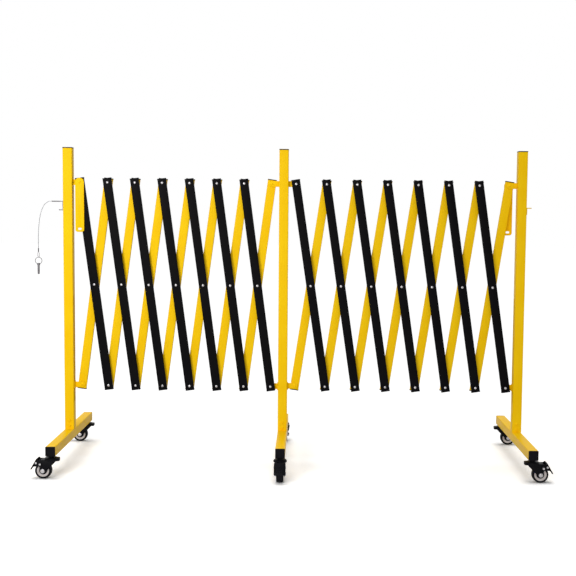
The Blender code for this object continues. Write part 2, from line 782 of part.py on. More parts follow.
def wheel(material):
    """A tyre on a rim with a recessed disc and a hub, turned in one profile about its bore."""
    corners = 1 / math.cos(math.pi / WHEEL_SIDES)
    radius, half = WHEEL_RADIUS * corners, WHEEL_WIDTH / 2
    side = [
        (radius * across, half * deep)
        for across, deep in (HUB_SHARES, RECESS_SHARES, RIM_SHARES, TREAD_SHARES)
    ]
    side.insert(0, (hole_radius(AXLE_RADIUS, WHEEL_SIDES), side[0][1]))
    profile = side + [(across, -deep) for across, deep in reversed(side)]
    return finished(turned(profile, WHEEL_SIDES, "Y"), material)


def brake_pedal(material):
    """A sloping tread on two cheeks, with the shoe that presses on the tyre.

    Its origin is its pivot.
    """
    pivot = from_axle(PEDAL_PIVOT_SHARES)
    axle = from_axle((0, 0)) - pivot
    top = from_axle(PEDAL_TOP_SHARES) - pivot
    tip = from_axle(PEDAL_TIP_SHARES) - pivot
    run = (tip - top).normalized()
    normal = Vector((run.y, -run.x))
    inner = WHEEL_WIDTH / 2 + FORK_CLEARANCE + FORK_PLATE + RUNNING_GAP
    outer = inner + PEDAL_PLATE
    under = normal * PEDAL_PLATE
    tread = plate([top, tip, tip + under, top + under], -outer, outer)

    back, front = [top.lerp(tip, share) + under / 2 for share in PEDAL_CHEEK_SHARES]
    cheek = [*arc((0, 0), PEDAL_EAR_RADIUS, 110, 270, 4), front, back]
    cheeks = [plate(cheek, inner, outer), plate(cheek, -outer, -inner)]

    # The shoe stands where the tread comes nearest to the axle
    nearest = top + run * (axle - top).dot(run)
    half = run * BRAKE_LENGTH / 2
    face = axle - normal * (WHEEL_RADIUS + BRAKE_CLEARANCE)
    root = nearest + under / 2
    shoe = [root - half, root + half, face + half, face - half]
    brake = plate(shoe, -WHEEL_WIDTH / 2, WHEEL_WIDTH / 2)
    join(tread, together(brake, *cheeks))
    radius = hole_radius(PEDAL_PIN_RADIUS, AXLE_SIDES)
    cut(tread, rod(radius, -outer - OVERRUN, outer + OVERRUN, AXLE_SIDES, "Y"))
    return finished(tread, material)


def smooth_route(route, step):
    """Evenly spaced points on a smooth curve through the route's own points."""
    points = [Vector(point) for point in route]
    padded = [2 * points[0] - points[1], *points, 2 * points[-1] - points[-2]]
    parts = 20
    fine = []
    for before, start, end, after in zip(padded, padded[1:], padded[2:], padded[3:]):
        for part in range(parts):
            t = part / parts
            fine.append(
                start
                + (end - before) * t / 2
                + (2 * before - 5 * start + 4 * end - after) * t**2 / 2
                + (3 * start - before - 3 * end + after) * t**3 / 2
            )
    fine.append(points[-1])
    lengths = [0]
    for first, second in zip(fine, fine[1:]):
        lengths.append(lengths[-1] + (second - first).length)
    count = round(lengths[-1] / step)
    evenly = [fine[0]]
    for number in range(1, count):
        want = lengths[-1] * number / count
        at = next(index for index, length in enumerate(lengths) if length >= want)
        t = (want - lengths[at - 1]) / (lengths[at] - lengths[at - 1])
        evenly.append(fine[at - 1].lerp(fine[at], t))
    return evenly + [fine[-1]]


def lanyard_wire(material):
    """The steel wire between its two crimps, as a thin tube on a smooth route."""
    curve = bpy.data.curves.new("lanyard_wire", "CURVE")
    curve.dimensions = "3D"
    curve.bevel_depth = WIRE_RADIUS
    curve.bevel_resolution = 2
    curve.use_fill_caps = True
    points = smooth_route(WIRE_ROUTE, WIRE_STEP)
    spline = curve.splines.new("POLY")
    spline.points.add(len(points) - 1)
    for knot, point in zip(spline.points, points):
        knot.co = (*point, 1)
    curve.materials.append(material)
    return curve


def lock_pin(material):
    """The ferrule, eye, split ring and lock pin that hang from the wire's lower end."""
    eye = -RUNNING_GAP - FERRULE_LENGTH
    ring = eye - EYE_LENGTH
    hanger = [
        (0, -RUNNING_GAP),
        (FERRULE_RADIUS, -RUNNING_GAP),
        (FERRULE_RADIUS, eye),
        (EYE_RADIUS, eye),
        (EYE_RADIUS, ring),
        (0, ring),
    ]
    centre = ring - RING_RADIUS
    wire = arc((RING_RADIUS, 0), RING_WIRE_RADIUS, 0, 360, RING_WIRE_SIDES)[:-1]
    top = centre - RING_RADIUS + RING_WIRE_RADIUS + PIN_TIP
    shoulder = top - PIN_HEAD_LENGTH
    end = shoulder - PIN_LENGTH
    pin = [
        (0, top),
        (PIN_HEAD_RADIUS * CROWN_SHARE, top),
        (PIN_HEAD_RADIUS, top - PIN_TIP),
        (PIN_HEAD_RADIUS, shoulder),
        (PIN_RADIUS, shoulder),
        (PIN_RADIUS, end + PIN_TIP),
        (PIN_RADIUS * CROWN_SHARE, end),
        (0, end),
    ]
    body = turned(pin, PIN_SIDES)
    join(body, turned(wire, RING_SIDES, "Y", (0, 0, centre)), turned(hanger, PIN_SIDES))
    return finished(body, material)


def stands(finishes):
    """The three posts on their feet, each with its casters and what hangs on it.

    Each stand's empty is on the axis of the top pivot that it hangs from.
    """
    yellow = finishes["yellow"]
    foot_mesh = foot(yellow)
    caster = fork(finishes["black"]), wheel(finishes["rubber"]), brake_pedal(finishes["black"])
    stem = FOOT_LENGTH / 2 - STEM_INSET
    foot_height = FOOT_UNDERSIDE + TUBE_WIDTH / 2 - TOP_PIVOT_HEIGHT
    left_post = post(yellow, (1,), link_clevis())
    centre_post = post(yellow, (-1, 1))
    right_post = post(yellow, (-1,), link_tab())
    carriers = {}
    for side, mesh, post_x, pivot, front_heading, back_heading in (
        ("left", left_post, LEFT_POST_X, PIVOT_OFFSET, math.pi, math.pi),
        ("centre", centre_post, CENTRE_POST_X, PIVOT_OFFSET, -math.pi / 2, math.pi / 2),
        ("right", right_post, RIGHT_POST_X, -PIVOT_OFFSET, 0, 0),
    ):
        stand = place(f"{side}_stand", None, (post_x + pivot, 0, TOP_PIVOT_HEIGHT))
        stand.hide_render = True
        place(f"{side}_post", mesh, (-pivot, 0, 0), stand)
        place(f"{side}_foot", foot_mesh, (-pivot, 0, foot_height), stand)
        for end, along, heading in (("front", -stem, front_heading), ("back", stem, back_heading)):
            name = f"{side}_{end}"
            floor = (-pivot, along, -TOP_PIVOT_HEIGHT)
            fork_piece = place(f"{name}_fork", caster[0], floor, stand, (0, 0, heading))
            axle, pivot_place = from_axle((0, 0)), from_axle(PEDAL_PIVOT_SHARES)
            place(f"{name}_wheel", caster[1], (axle.x, 0, axle.y), fork_piece)
            place(f"{name}_brake_pedal", caster[2], (pivot_place.x, 0, pivot_place.y), fork_piece)
        carriers[side] = stand
    strap = latch_strap(yellow)
    place("left_latch_strap", strap, (0, -STRAP_LAYER, 0), carriers["left"])
    place("right_latch_strap", strap, (0, STRAP_LAYER, 0), carriers["right"])
    place("lanyard_wire", lanyard_wire(finishes["steel"]), (-PIVOT_OFFSET, 0, 0), carriers["left"])
    hang = Vector(WIRE_ROUTE[-1]) - Vector((PIVOT_OFFSET, 0, 0))
    place("lock_pin", lock_pin(finishes["steel"]), hang, carriers["left"])


def sliders(finishes):
    """The bottom bracket of each panel's end, in the slot of its post."""
    mesh = slider(finishes["yellow"])
    for name, post_x, side, pitch in (
        ("left_slider", LEFT_POST_X, 1, LEFT_PITCH),
        ("centre_left_slider", CENTRE_POST_X, -1, LEFT_PITCH),
        ("centre_right_slider", CENTRE_POST_X, 1, RIGHT_PITCH),
        ("right_slider", RIGHT_POST_X, -1, RIGHT_PITCH),
    ):
        height = TOP_PIVOT_HEIGHT - SLAT_LENGTH * math.cos(fold_angle(pitch))
        turn = 0 if side == 1 else math.pi
        place(name, mesh, (post_x + side * PIVOT_OFFSET, 0, height), turn=(0, 0, turn))


def build():
    for item in list(bpy.data.objects):
        bpy.data.objects.remove(item)
    finishes = {
        "yellow": finish("yellow_powder_coat", YELLOW, 0.0, 0.35),
        "black": finish("black_powder_coat", BLACK, 0.0, 0.40),
        "steel": finish("zinc_plated_steel", STEEL, 1.0, 0.30),
        "rubber": finish("caster_rubber", RUBBER, 0.0, 0.60),
    }
    stands(finishes)
    sliders(finishes)
    panel("left", LEFT_POST_X + PIVOT_OFFSET, LEFT_PITCH, finishes)
    panel("right", CENTRE_POST_X + PIVOT_OFFSET, RIGHT_PITCH, finishes)


build()
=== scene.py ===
import math

import bpy
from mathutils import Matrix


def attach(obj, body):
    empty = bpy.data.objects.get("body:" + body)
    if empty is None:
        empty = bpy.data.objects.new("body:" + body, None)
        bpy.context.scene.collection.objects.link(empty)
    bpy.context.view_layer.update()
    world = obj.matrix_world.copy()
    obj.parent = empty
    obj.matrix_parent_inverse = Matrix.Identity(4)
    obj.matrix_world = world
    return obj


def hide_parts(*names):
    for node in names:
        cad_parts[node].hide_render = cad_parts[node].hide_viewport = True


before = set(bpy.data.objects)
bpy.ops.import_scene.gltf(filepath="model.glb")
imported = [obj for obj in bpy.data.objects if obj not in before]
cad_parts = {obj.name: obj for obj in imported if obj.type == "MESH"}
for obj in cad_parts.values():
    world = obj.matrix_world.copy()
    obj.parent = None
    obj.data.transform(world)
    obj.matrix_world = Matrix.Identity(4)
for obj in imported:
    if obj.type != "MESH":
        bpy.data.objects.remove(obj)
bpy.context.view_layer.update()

# Camera
# A short telephoto lens stands a little right of the middle, 0.82 m above the floor, and looks
# slightly down. It was fitted to the post tops, feet and slat ends of the photograph.
FOCAL_PIXELS = 1023.32
FRAME_PIXELS = 576
SENSOR_WIDTH = 36
CAMERA_PLACE = (0.0405, -3.3202, 0.8213)
CAMERA_TURN, CAMERA_DIP, CAMERA_ROLL = -0.0012, 0.0760, 0.0089
LENS_SHIFT_PIXELS = 20

eye = bpy.data.cameras.new("eye")
eye.sensor_width = SENSOR_WIDTH
eye.lens = FOCAL_PIXELS * SENSOR_WIDTH / FRAME_PIXELS
eye.shift_x = -LENS_SHIFT_PIXELS / FRAME_PIXELS
camera = bpy.data.objects.new("camera", eye)
bpy.context.scene.collection.objects.link(camera)
camera.rotation_euler = (math.pi / 2 - CAMERA_DIP, 0, CAMERA_TURN)
level = camera.rotation_euler.to_matrix()
right, up = level.col[0].copy(), level.col[1].copy()
level.col[0] = right * math.cos(CAMERA_ROLL) + up * math.sin(CAMERA_ROLL)
level.col[1] = up * math.cos(CAMERA_ROLL) - right * math.sin(CAMERA_ROLL)
camera.rotation_euler = level.to_euler()
camera.location = CAMERA_PLACE
bpy.context.scene.camera = camera
bpy.context.scene.view_settings.view_transform = "Standard"

# Lanyard wire
# A stranded stainless wire, 1.8 mm thick, leaves its crimp on the left post's clevis, bends over
# and hangs down to the lock pin's ferrule. It is stiff enough to keep its bow.
LEFT_POST_X, CENTRE_POST_X, RIGHT_POST_X = -0.73205, -0.036017, 0.73205
TOP_PIVOT_HEIGHT = 0.904588
WIRE_DIAMETER = 0.0018
STRAND_BAND = 0.003  # coarser than the real strands, which wouldn't show
BAND_SHARE = 0.3  # a wave texture's bands lie about this share of 1 / scale apart
# The groove colour is painted shade that falls between the strands
WIRE_STEEL, WIRE_GROOVE_SHADE, WIRE_ROUGHNESS = "#9a9a9d", "#55555a", 0.36
# From the left post's middle at the top rivets' height, from the crimp down to the ferrule
WIRE_ROUTE = (
    (-0.0548, 0, -0.0620), (-0.0590, 0, -0.0621), (-0.0660, 0, -0.0636),
    (-0.0735, 0, -0.0683), (-0.0800, -0.0004, -0.0762), (-0.0852, -0.0010, -0.0865),
    (-0.0892, -0.0016, -0.0985), (-0.0922, -0.0021, -0.1115), (-0.0944, -0.0025, -0.1255),
    (-0.0960, -0.0028, -0.1400), (-0.0971, -0.0030, -0.1550), (-0.0977, -0.0031, -0.1700),
    (-0.0980, -0.0031, -0.1850), (-0.0981, -0.0031, -0.2000), (-0.0981, -0.0031, -0.2130),
)


def linear(colour):
    """An sRGB hex colour as a linear one, with its alpha."""
    values = [int(colour[start : start + 2], 16) / 255 for start in (1, 3, 5)]
    return [v / 12.92 if v <= 0.04045 else ((v + 0.055) / 1.055) ** 2.4 for v in values] + [1]


def add_node(material, kind, values=(), links=(), **settings):
    """Adds a node with its settings, its sockets' values, and what is linked to its sockets."""
    tree = material.node_tree
    node = tree.nodes.new(kind)
    for setting, value in settings.items():
        setattr(node, setting, value)
    for socket, value in values:
        node.inputs[socket].default_value = value
    for socket, output in links:
        tree.links.new(output, node.inputs[socket])
    return node


def finish(name, metallic):
    """A new material with its shader and the object's own coordinates."""
    material = bpy.data.materials.new(name)
    material.use_nodes = True
    shader = material.node_tree.nodes["Principled BSDF"]
    shader.inputs["Metallic"].default_value = metallic
    return material, shader, add_node(material, "ShaderNodeTexCoord").outputs["Object"]


# Stainless wire rope: bright strands, with shade painted into the grooves between them
wire_rope, shader, places = finish("stranded_stainless_wire", metallic=1.0)
shader.inputs["Roughness"].default_value = WIRE_ROUGHNESS
strands = add_node(
    wire_rope,
    "ShaderNodeTexWave",
    [("Scale", BAND_SHARE / STRAND_BAND), ("Distortion", 0.5)],
    [("Vector", places)],
    bands_direction="DIAGONAL",
)
# Dark bands of painted shade stand for the grooves between the strands
groove_shade = add_node(wire_rope, "ShaderNodeValToRGB", (), [("Fac", strands.outputs["Fac"])])
groove_shade.color_ramp.elements[0].color = linear(WIRE_GROOVE_SHADE)
groove_shade.color_ramp.elements[1].color = linear(WIRE_STEEL)
wire_rope.node_tree.links.new(groove_shade.outputs["Color"], shader.inputs["Base Color"])

wire_line = bpy.data.curves.new("lanyard_wire_rope", "CURVE")
wire_line.dimensions = "3D"
wire_line.bevel_depth = WIRE_DIAMETER / 2
wire_line.bevel_resolution = 3
wire_line.resolution_u = 8
wire_line.use_fill_caps = True
bend = wire_line.splines.new("BEZIER")
bend.bezier_points.add(len(WIRE_ROUTE) - 1)
wire_route = [(LEFT_POST_X + x, y, TOP_PIVOT_HEIGHT + z) for x, y, z in WIRE_ROUTE]
for knot, point in zip(bend.bezier_points, wire_route):
    knot.co = point
    knot.handle_left_type = knot.handle_right_type = "AUTO"
wire_line.materials.append(wire_rope)
wire = bpy.data.objects.new("lanyard_wire_rope", wire_line)
bpy.context.scene.collection.objects.link(wire)
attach(wire, "left_stand")
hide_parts("lanyard_wire")

# Lock pin
# A turned steel pin hangs by its head on a split ring, which hangs in an eye of bent rod. A steel
# ferrule crimps the eye to the wire. The eye is bright zinc plated, and the rest has dulled.
GAP = 0.0003
FERRULE_RADIUS, FERRULE_MOUTH, FERRULE_LENGTH = 0.0018, 0.0013, 0.013
FERRULE_CHAMFER, FERRULE_DIP, FERRULE_DIP_STEP = 0.0006, 0.0003, 0.0006
FERRULE_DIP_PLACES = (0.0046, 0.0086)
EYE_RADIUS, EYE_BEND, EYE_LENGTH = 0.0011, 0.0026, 0.017
RING_RADIUS, RING_WIRE_RADIUS = 0.0110, 0.0012
RING_BEND, RING_TURN_SHARE, RING_INNER_SHARE = 0.0109, 0.66, 0.995
PIN_RADIUS, PIN_LENGTH, PIN_TIP = 0.0035, 0.029, 0.002
PIN_HEAD_RADIUS, PIN_HEAD_LENGTH, PIN_CHAMFER = 0.0048, 0.007, 0.0004
PIN_GROOVE_PLACE, PIN_GROOVE_HALF, PIN_GROOVE_DEPTH = 0.0055, 0.0010, 0.0006
PIN_END_SHARE, PIN_DOME_SHARE = 0.6, 0.92
ZINC_LIGHT, ZINC_DARK = "#b9b6b7", "#8f8d8f"
STEEL_LIGHT, STEEL_DARK = "#6e6c6e", "#4d4b4e"
CLOUD_LOW, CLOUD_HIGH = 0.3, 0.7  # nearly all of a noise texture lies between these
SHARP = 35  # degrees from which an edge is shaded sharp
NEAR = 0.000001  # places that are closer than this are the same
MERGE = 0.000005  # corners that are closer than this are made one


def coat(name, colours, patch, gloss, grain, relief, metallic=0.0, specular=0.5):
    """A finish that varies between two colours and two roughnesses in patches of this size, over
    a grain of this size and relief."""
    material, shader, places = finish(name, metallic)
    shader.inputs["Specular IOR Level"].default_value = specular
    link = material.node_tree.links.new
    cloud = add_node(
        material, "ShaderNodeTexNoise", [("Scale", 1 / patch), ("Detail", 4)], [("Vector", places)]
    )
    tones = add_node(material, "ShaderNodeValToRGB", (), [("Fac", cloud.outputs["Fac"])])
    for stop, colour, place in zip(tones.color_ramp.elements, colours, (CLOUD_LOW, CLOUD_HIGH)):
        stop.color, stop.position = linear(colour), place
    link(tones.outputs["Color"], shader.inputs["Base Color"])
    limits = [("From Min", CLOUD_LOW), ("From Max", CLOUD_HIGH)]
    limits += [("To Min", gloss[0]), ("To Max", gloss[1])]
    rough = add_node(material, "ShaderNodeMapRange", limits, [("Value", cloud.outputs["Fac"])])
    link(rough.outputs["Result"], shader.inputs["Roughness"])
    bumps = add_node(
        material, "ShaderNodeTexNoise", [("Scale", 1 / grain), ("Detail", 3)], [("Vector", places)]
    )
    raised = add_node(
        material,
        "ShaderNodeBump",
        [("Strength", 1.0), ("Distance", relief)],
        [("Height", bumps.outputs["Fac"])],
    )
    link(raised.outputs["Normal"], shader.inputs["Normal"])
    return material


def alone(*pieces):
    """Selects these pieces and nothing else."""
    bpy.ops.object.select_all(action="DESELECT")
    for piece in pieces:
        piece.select_set(True)
    bpy.context.view_layer.objects.active = pieces[0]


def settle(piece, place=(0, 0, 0), turn=(0, 0, 0)):
    """Moves and turns a piece, then takes its place into its mesh."""
    alone(piece)
    piece.location, piece.rotation_euler = place, turn
    bpy.ops.object.transform_apply(location=True, rotation=True, scale=True)
    return piece


def open_up(piece):
    """Opens a piece in edit mode with all of it selected."""
    alone(piece)
    bpy.ops.object.mode_set(mode="EDIT")
    bpy.ops.mesh.select_all(action="SELECT")


def choose(piece, kind, test):
    """Opens a piece in edit mode with only those edges or faces selected that pass the test."""
    alone(piece)
    bpy.ops.object.mode_set(mode="EDIT")
    bpy.ops.mesh.select_mode(type=kind)
    bpy.ops.mesh.select_all(action="DESELECT")
    bpy.ops.object.mode_set(mode="OBJECT")
    corners = piece.data.vertices
    for part in piece.data.edges if kind == "EDGE" else piece.data.polygons:
        part.select = bool(test([corners[corner].co for corner in part.vertices]))
    bpy.ops.object.mode_set(mode="EDIT")


def close():
    """Leaves edit mode with every face turned outwards."""
    bpy.ops.mesh.select_all(action="SELECT")
    bpy.ops.mesh.remove_doubles(threshold=MERGE)
    bpy.ops.mesh.normals_make_consistent(inside=False)
    bpy.ops.object.mode_set(mode="OBJECT")


def shade(sharp=SHARP):
    """Shades the chosen piece smooth, with its edges sharp from this many degrees on."""
    bpy.ops.object.shade_smooth_by_angle(angle=math.radians(sharp))


def drawn_up(name, profile, sides, loop=False):
    """A round piece about Z: a circle extruded and resized ring by ring along its profile of
    (radius, height) points. Its ends are closed, or its last ring joins the first in a loop."""
    radius, height = profile[0]
    filling = "NOTHING" if loop else "NGON"
    bpy.ops.mesh.primitive_circle_add(vertices=sides, radius=radius, fill_type=filling)
    piece = settle(bpy.context.object, (0, 0, height), (0, 0, math.pi / sides))
    piece.name = name
    bpy.ops.object.mode_set(mode="EDIT")
    bpy.ops.mesh.select_mode(type="EDGE" if loop else "FACE")
    bpy.ops.mesh.select_all(action="SELECT")
    path = list(profile) + ([profile[0]] if loop else [])
    for (near, low), (far, high) in zip(path, path[1:]):
        bpy.ops.mesh.extrude_region_move(TRANSFORM_OT_translate={"value": (0, 0, high - low)})
        if abs(far - near) > NEAR:
            share = far / near
            bpy.ops.transform.resize(value=(share, share, 1), center_override=(0, 0, high))
    close()
    shade()
    return piece


def grooves(radius, depth, step, places):
    """The points of grooves at these heights, each pressed in over one step and out over the
    next. The step is negative where the piece is drawn from its top down."""
    shape = ((radius, -step), (radius - depth, 0), (radius, step))
    return [(reach, place + along) for place in places for reach, along in shape]


def dress(piece, material, body, slot, *nodes):
    """Gives a piece its one material and its body and hides its CAD nodes. The slot is not used."""
    piece.data.materials.append(material)
    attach(piece, body)
    if nodes:
        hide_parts(*nodes)
    return piece


# Bright zinc plate on turned steel: a cool, slightly cloudy metal
zinc_plate = coat(
    "bright_zinc_plate", (ZINC_DARK, ZINC_LIGHT),
    patch=0.012, gloss=(0.22, 0.36), grain=0.0012, relief=0.00001, metallic=1.0,
)
# Plain steel that has dulled to grey: ferrule, ring, pin, crimp and clevis
dull_steel = coat(
    "dulled_grey_steel", (STEEL_DARK, STEEL_LIGHT),
    patch=0.010, gloss=(0.36, 0.5), grain=0.0012, relief=0.00002, metallic=1.0,
)

hang = wire_route[-1]
ferrule_foot = -GAP - FERRULE_LENGTH
eye_foot = ferrule_foot - EYE_LENGTH
ring_centre = eye_foot - RING_RADIUS
ferrule_dips = [-GAP - place for place in FERRULE_DIP_PLACES]
ferrule = drawn_up(
    "lanyard_ferrule",
    [
        (FERRULE_MOUTH, -GAP),
        (FERRULE_RADIUS, -GAP - FERRULE_CHAMFER),
        *grooves(FERRULE_RADIUS, FERRULE_DIP, -FERRULE_DIP_STEP, ferrule_dips),
        (FERRULE_RADIUS, ferrule_foot + FERRULE_CHAMFER),
        (FERRULE_MOUTH, ferrule_foot),
    ],
    16,
)
settle(ferrule, hang)

# The eye is a long loop of rod: a torus drawn out between its two halves
bpy.ops.mesh.primitive_torus_add(
    major_radius=EYE_BEND, minor_radius=EYE_RADIUS, major_segments=24, minor_segments=10
)
loop = settle(bpy.context.object, turn=(math.pi / 2, 0, 0))
loop.name = "lanyard_eye"
choose(loop, "FACE", lambda corners: sum(corner.z for corner in corners) > 0)
bpy.ops.transform.translate(value=(0, 0, EYE_LENGTH - 2 * (EYE_BEND + EYE_RADIUS)))
close()
bpy.ops.object.shade_smooth()
settle(loop, (hang[0], hang[1], hang[2] + eye_foot + EYE_BEND + EYE_RADIUS))

# The split ring is two turns of wire that lie on each other
bpy.ops.mesh.primitive_torus_add(
    major_radius=RING_BEND, minor_radius=RING_WIRE_RADIUS * RING_TURN_SHARE,
    major_segments=48, minor_segments=10,
)
ring = settle(bpy.context.object, turn=(math.pi / 2, 0, 0))
ring.name = "split_ring"
open_up(ring)
bpy.ops.transform.translate(value=(0, RING_WIRE_RADIUS / 2, 0))
bpy.ops.mesh.duplicate_move(TRANSFORM_OT_translate={"value": (0, -RING_WIRE_RADIUS, 0)})
bpy.ops.transform.resize(value=(RING_INNER_SHARE, 1, RING_INNER_SHARE))
bpy.ops.object.mode_set(mode="OBJECT")
bpy.ops.object.shade_smooth()
settle(ring, (hang[0], hang[1], hang[2] + ring_centre))

head_top = ring_centre - RING_RADIUS + RING_WIRE_RADIUS + PIN_TIP
shoulder = head_top - PIN_HEAD_LENGTH
pin_end = shoulder - PIN_LENGTH
groove_floor, groove_slope = PIN_RADIUS - PIN_GROOVE_DEPTH, PIN_GROOVE_HALF / 2
groove_place = pin_end + PIN_GROOVE_PLACE
pin = drawn_up(
    "lock_pin_shank",
    [
        (PIN_HEAD_RADIUS * PIN_END_SHARE, head_top),
        (PIN_HEAD_RADIUS * PIN_DOME_SHARE, head_top - PIN_TIP / 2),
        (PIN_HEAD_RADIUS, head_top - PIN_TIP),
        (PIN_HEAD_RADIUS, shoulder + PIN_CHAMFER),
        (PIN_HEAD_RADIUS - PIN_CHAMFER, shoulder),
        (PIN_RADIUS, shoulder),
        (PIN_RADIUS, groove_place + PIN_GROOVE_HALF),
        (groove_floor, groove_place + groove_slope),
        (groove_floor, groove_place - groove_slope),
        (PIN_RADIUS, groove_place - PIN_GROOVE_HALF),
        (PIN_RADIUS, pin_end + PIN_TIP),
        (PIN_RADIUS * PIN_END_SHARE, pin_end),
    ],
    24,
)
settle(pin, hang)
for part, metal in ((ferrule, dull_steel), (loop, zinc_plate), (ring, dull_steel)):
    dress(part, metal, "left_stand", "bare_steel")
dress(pin, dull_steel, "left_stand", "bare_steel", "lock_pin")

# Floor, lamps and daylight
# A seamless white studio floor under an even white world and a high, wide soft sun. A big soft
# lamp stands in front, and a small soft box with a grid lightens the left half and its top.
FLOOR_SIZE = 40
PAPER_WHITE, PAPER_SEEN = 0.5, 1.36
WORLD_LIGHT, WORLD_SEEN = 0.34, 1.0
SUN_PLACE, SUN_ANGLE, SUN_STRENGTH = (-0.2, 0.3, 4.5), math.radians(42), 1.34
FRONT_PLACE, FRONT_SIZE, FRONT_POWER = (-1.0, -5.5, 1.2), 4.0, 132
BOX_PLACE, BOX_SIZE, BOX_POWER = (-1.3, -2.2, 1.4), 0.6, 3.6
BOX_SPREAD = math.radians(70)
MIDDLE, UPPER_LEFT = (0, 0, 0.5), (-0.5, 0, 0.8)
LAMPS = (
    ("soft_sun", "SUN", SUN_PLACE, MIDDLE),
    ("front_lamp", "AREA", FRONT_PLACE, MIDDLE),
    ("soft_box", "AREA", BOX_PLACE, UPPER_LEFT),
)

bpy.ops.mesh.primitive_plane_add(size=FLOOR_SIZE)
floor = settle(bpy.context.object)
floor.name = "studio_floor"


def seen_or_lit(material, lit, seen):
    """One value where a surface lights the object, and another where it is seen, straight on or
    in gloss or glass."""
    rays = add_node(material, "ShaderNodeLightPath").outputs
    any_way = rays["Is Camera Ray"]
    for way in ("Is Glossy Ray", "Is Transmission Ray"):
        links = [(0, any_way), (1, rays[way])]
        any_way = add_node(material, "ShaderNodeMath", (), links, operation="MAXIMUM").outputs[0]
    return add_node(
        material, "ShaderNodeMapRange", [("To Min", lit), ("To Max", seen)], [("Value", any_way)]
    ).outputs["Result"]


# Matt white paper: the camera sees it a little brighter than it lights the object, so that the
# open floor is white and the shadows on it stay dark
floor_paper = bpy.data.materials.new("matt_white_paper")
floor_paper.use_nodes = True
floor_nodes = floor_paper.node_tree.nodes
floor_nodes.remove(floor_nodes["Principled BSDF"])
paper = seen_or_lit(floor_paper, PAPER_WHITE, PAPER_SEEN)
matt = add_node(floor_paper, "ShaderNodeBsdfDiffuse", (), [("Color", paper)])
surface = floor_nodes["Material Output"].inputs["Surface"]
floor_paper.node_tree.links.new(matt.outputs["BSDF"], surface)
floor.data.materials.append(floor_paper)

world = bpy.data.worlds.new("white_room")
world.use_nodes = True
bpy.context.scene.world = world
sky = world.node_tree.nodes["Background"]
sky.inputs["Color"].default_value = (1, 1, 1, 1)
world.node_tree.links.new(seen_or_lit(world, WORLD_LIGHT, WORLD_SEEN), sky.inputs["Strength"])

lamps = {}
for name, kind, place, aim in LAMPS:
    bpy.ops.object.light_add(type=kind, location=place)
    lamp = bpy.context.object
    lamp.name = name
    towards = lamp.location.copy()
    towards.xyz = [to - start for start, to in zip(place, aim)]
    lamp.rotation_euler = towards.to_track_quat("-Z", "Y").to_euler()
    lamps[name] = lamp.data
lamps["soft_sun"].angle, lamps["soft_sun"].energy = SUN_ANGLE, SUN_STRENGTH
lamps["front_lamp"].size, lamps["front_lamp"].energy = FRONT_SIZE, FRONT_POWER
lamps["soft_box"].size, lamps["soft_box"].energy = BOX_SIZE, BOX_POWER
lamps["soft_box"].spread = BOX_SPREAD

# Feet
# Three crosswise feet of welded square steel tube, powder coated in safety yellow, with a black
# moulded plug in each end and a pressed ring below each end for the caster's stem.
TUBE_WIDTH, TUBE_WALL, TUBE_CORNER = 0.030, 0.0015, 0.002
FOOT_LENGTH, FOOT_UNDERSIDE = 0.540, 0.070
STEM_PLACE = 0.254
CAP_FLANGE, CAP_ROUND = 0.003, 0.0011
CAP_PANEL_INSET, CAP_PANEL_DEPTH = 0.0030, 0.0005
NECK_RADIUS, NECK_HEIGHT = 0.009, 0.0047
NECK_RING, NECK_RING_LOW, NECK_RING_RIM = 0.0030, 0.0018, 0.0014
YELLOW_LIGHT, YELLOW_DEEP = "#fdcf12", "#fac60a"
PLASTIC_LIGHT, PLASTIC_DARK = "#121115", "#0b0a0d"
STANDS = (("left", LEFT_POST_X), ("centre", CENTRE_POST_X), ("right", RIGHT_POST_X))

# Polyester powder coat: satin safety yellow with orange peel, drawn coarser than its real 1 mm
powder_yellow = coat(
    "yellow_powder_coated_steel", (YELLOW_DEEP, YELLOW_LIGHT),
    patch=0.09, gloss=(0.30, 0.42), grain=0.0022, relief=0.00006, specular=0.025,
)
# Moulded polypropylene: near black with a fine spark-eroded grain
black_plastic = coat(
    "black_moulded_polypropylene", (PLASTIC_DARK, PLASTIC_LIGHT),
    patch=0.02, gloss=(0.42, 0.58), grain=0.0011, relief=0.00008, specular=0.05,
)


def block(name, low, high):
    """A cube stretched between two corners, the start of a piece."""
    middle = [(a + b) / 2 for a, b in zip(low, high)]
    size = [b - a for a, b in zip(low, high)]
    bpy.ops.mesh.primitive_cube_add(size=1, location=middle, scale=size)
    bpy.ops.object.transform_apply(location=True, rotation=True, scale=True)
    bpy.context.object.name = name
    return bpy.context.object


def round_edges(piece, axis, radius, segments, where=lambda point: True):
    """Rounds the edges that run along an axis and whose middles are at such a place."""

    def runs_along(ends):
        run = ends[1] - ends[0]
        return abs(run[axis]) > 0.99 * run.length and where((ends[0] + ends[1]) / 2)

    choose(piece, "EDGE", runs_along)
    bpy.ops.mesh.bevel(offset=radius, segments=segments, affect="EDGES", clamp_overlap=False)
    close()


def lies_at(corners, axis, *places):
    """Whether a face lies flat at one of these places on an axis."""
    return any(all(abs(corner[axis] - place) < NEAR for corner in corners) for place in places)


def tube(name, low, high, axis, wall, corner):
    """A square tube: a block with rounded long edges, open ends and a wall."""
    piece = block(name, low, high)
    round_edges(piece, axis, corner, 4)
    choose(piece, "FACE", lambda corners: lies_at(corners, axis, low[axis], high[axis]))
    bpy.ops.mesh.delete(type="FACE")
    bpy.ops.mesh.select_all(action="SELECT")
    bpy.ops.mesh.normals_make_consistent(inside=False)
    bpy.ops.object.mode_set(mode="OBJECT")
    skin = piece.modifiers.new("wall", "SOLIDIFY")
    skin.thickness, skin.offset = wall, -1
    bpy.ops.object.modifier_apply(modifier=skin.name)
    shade()
    return piece


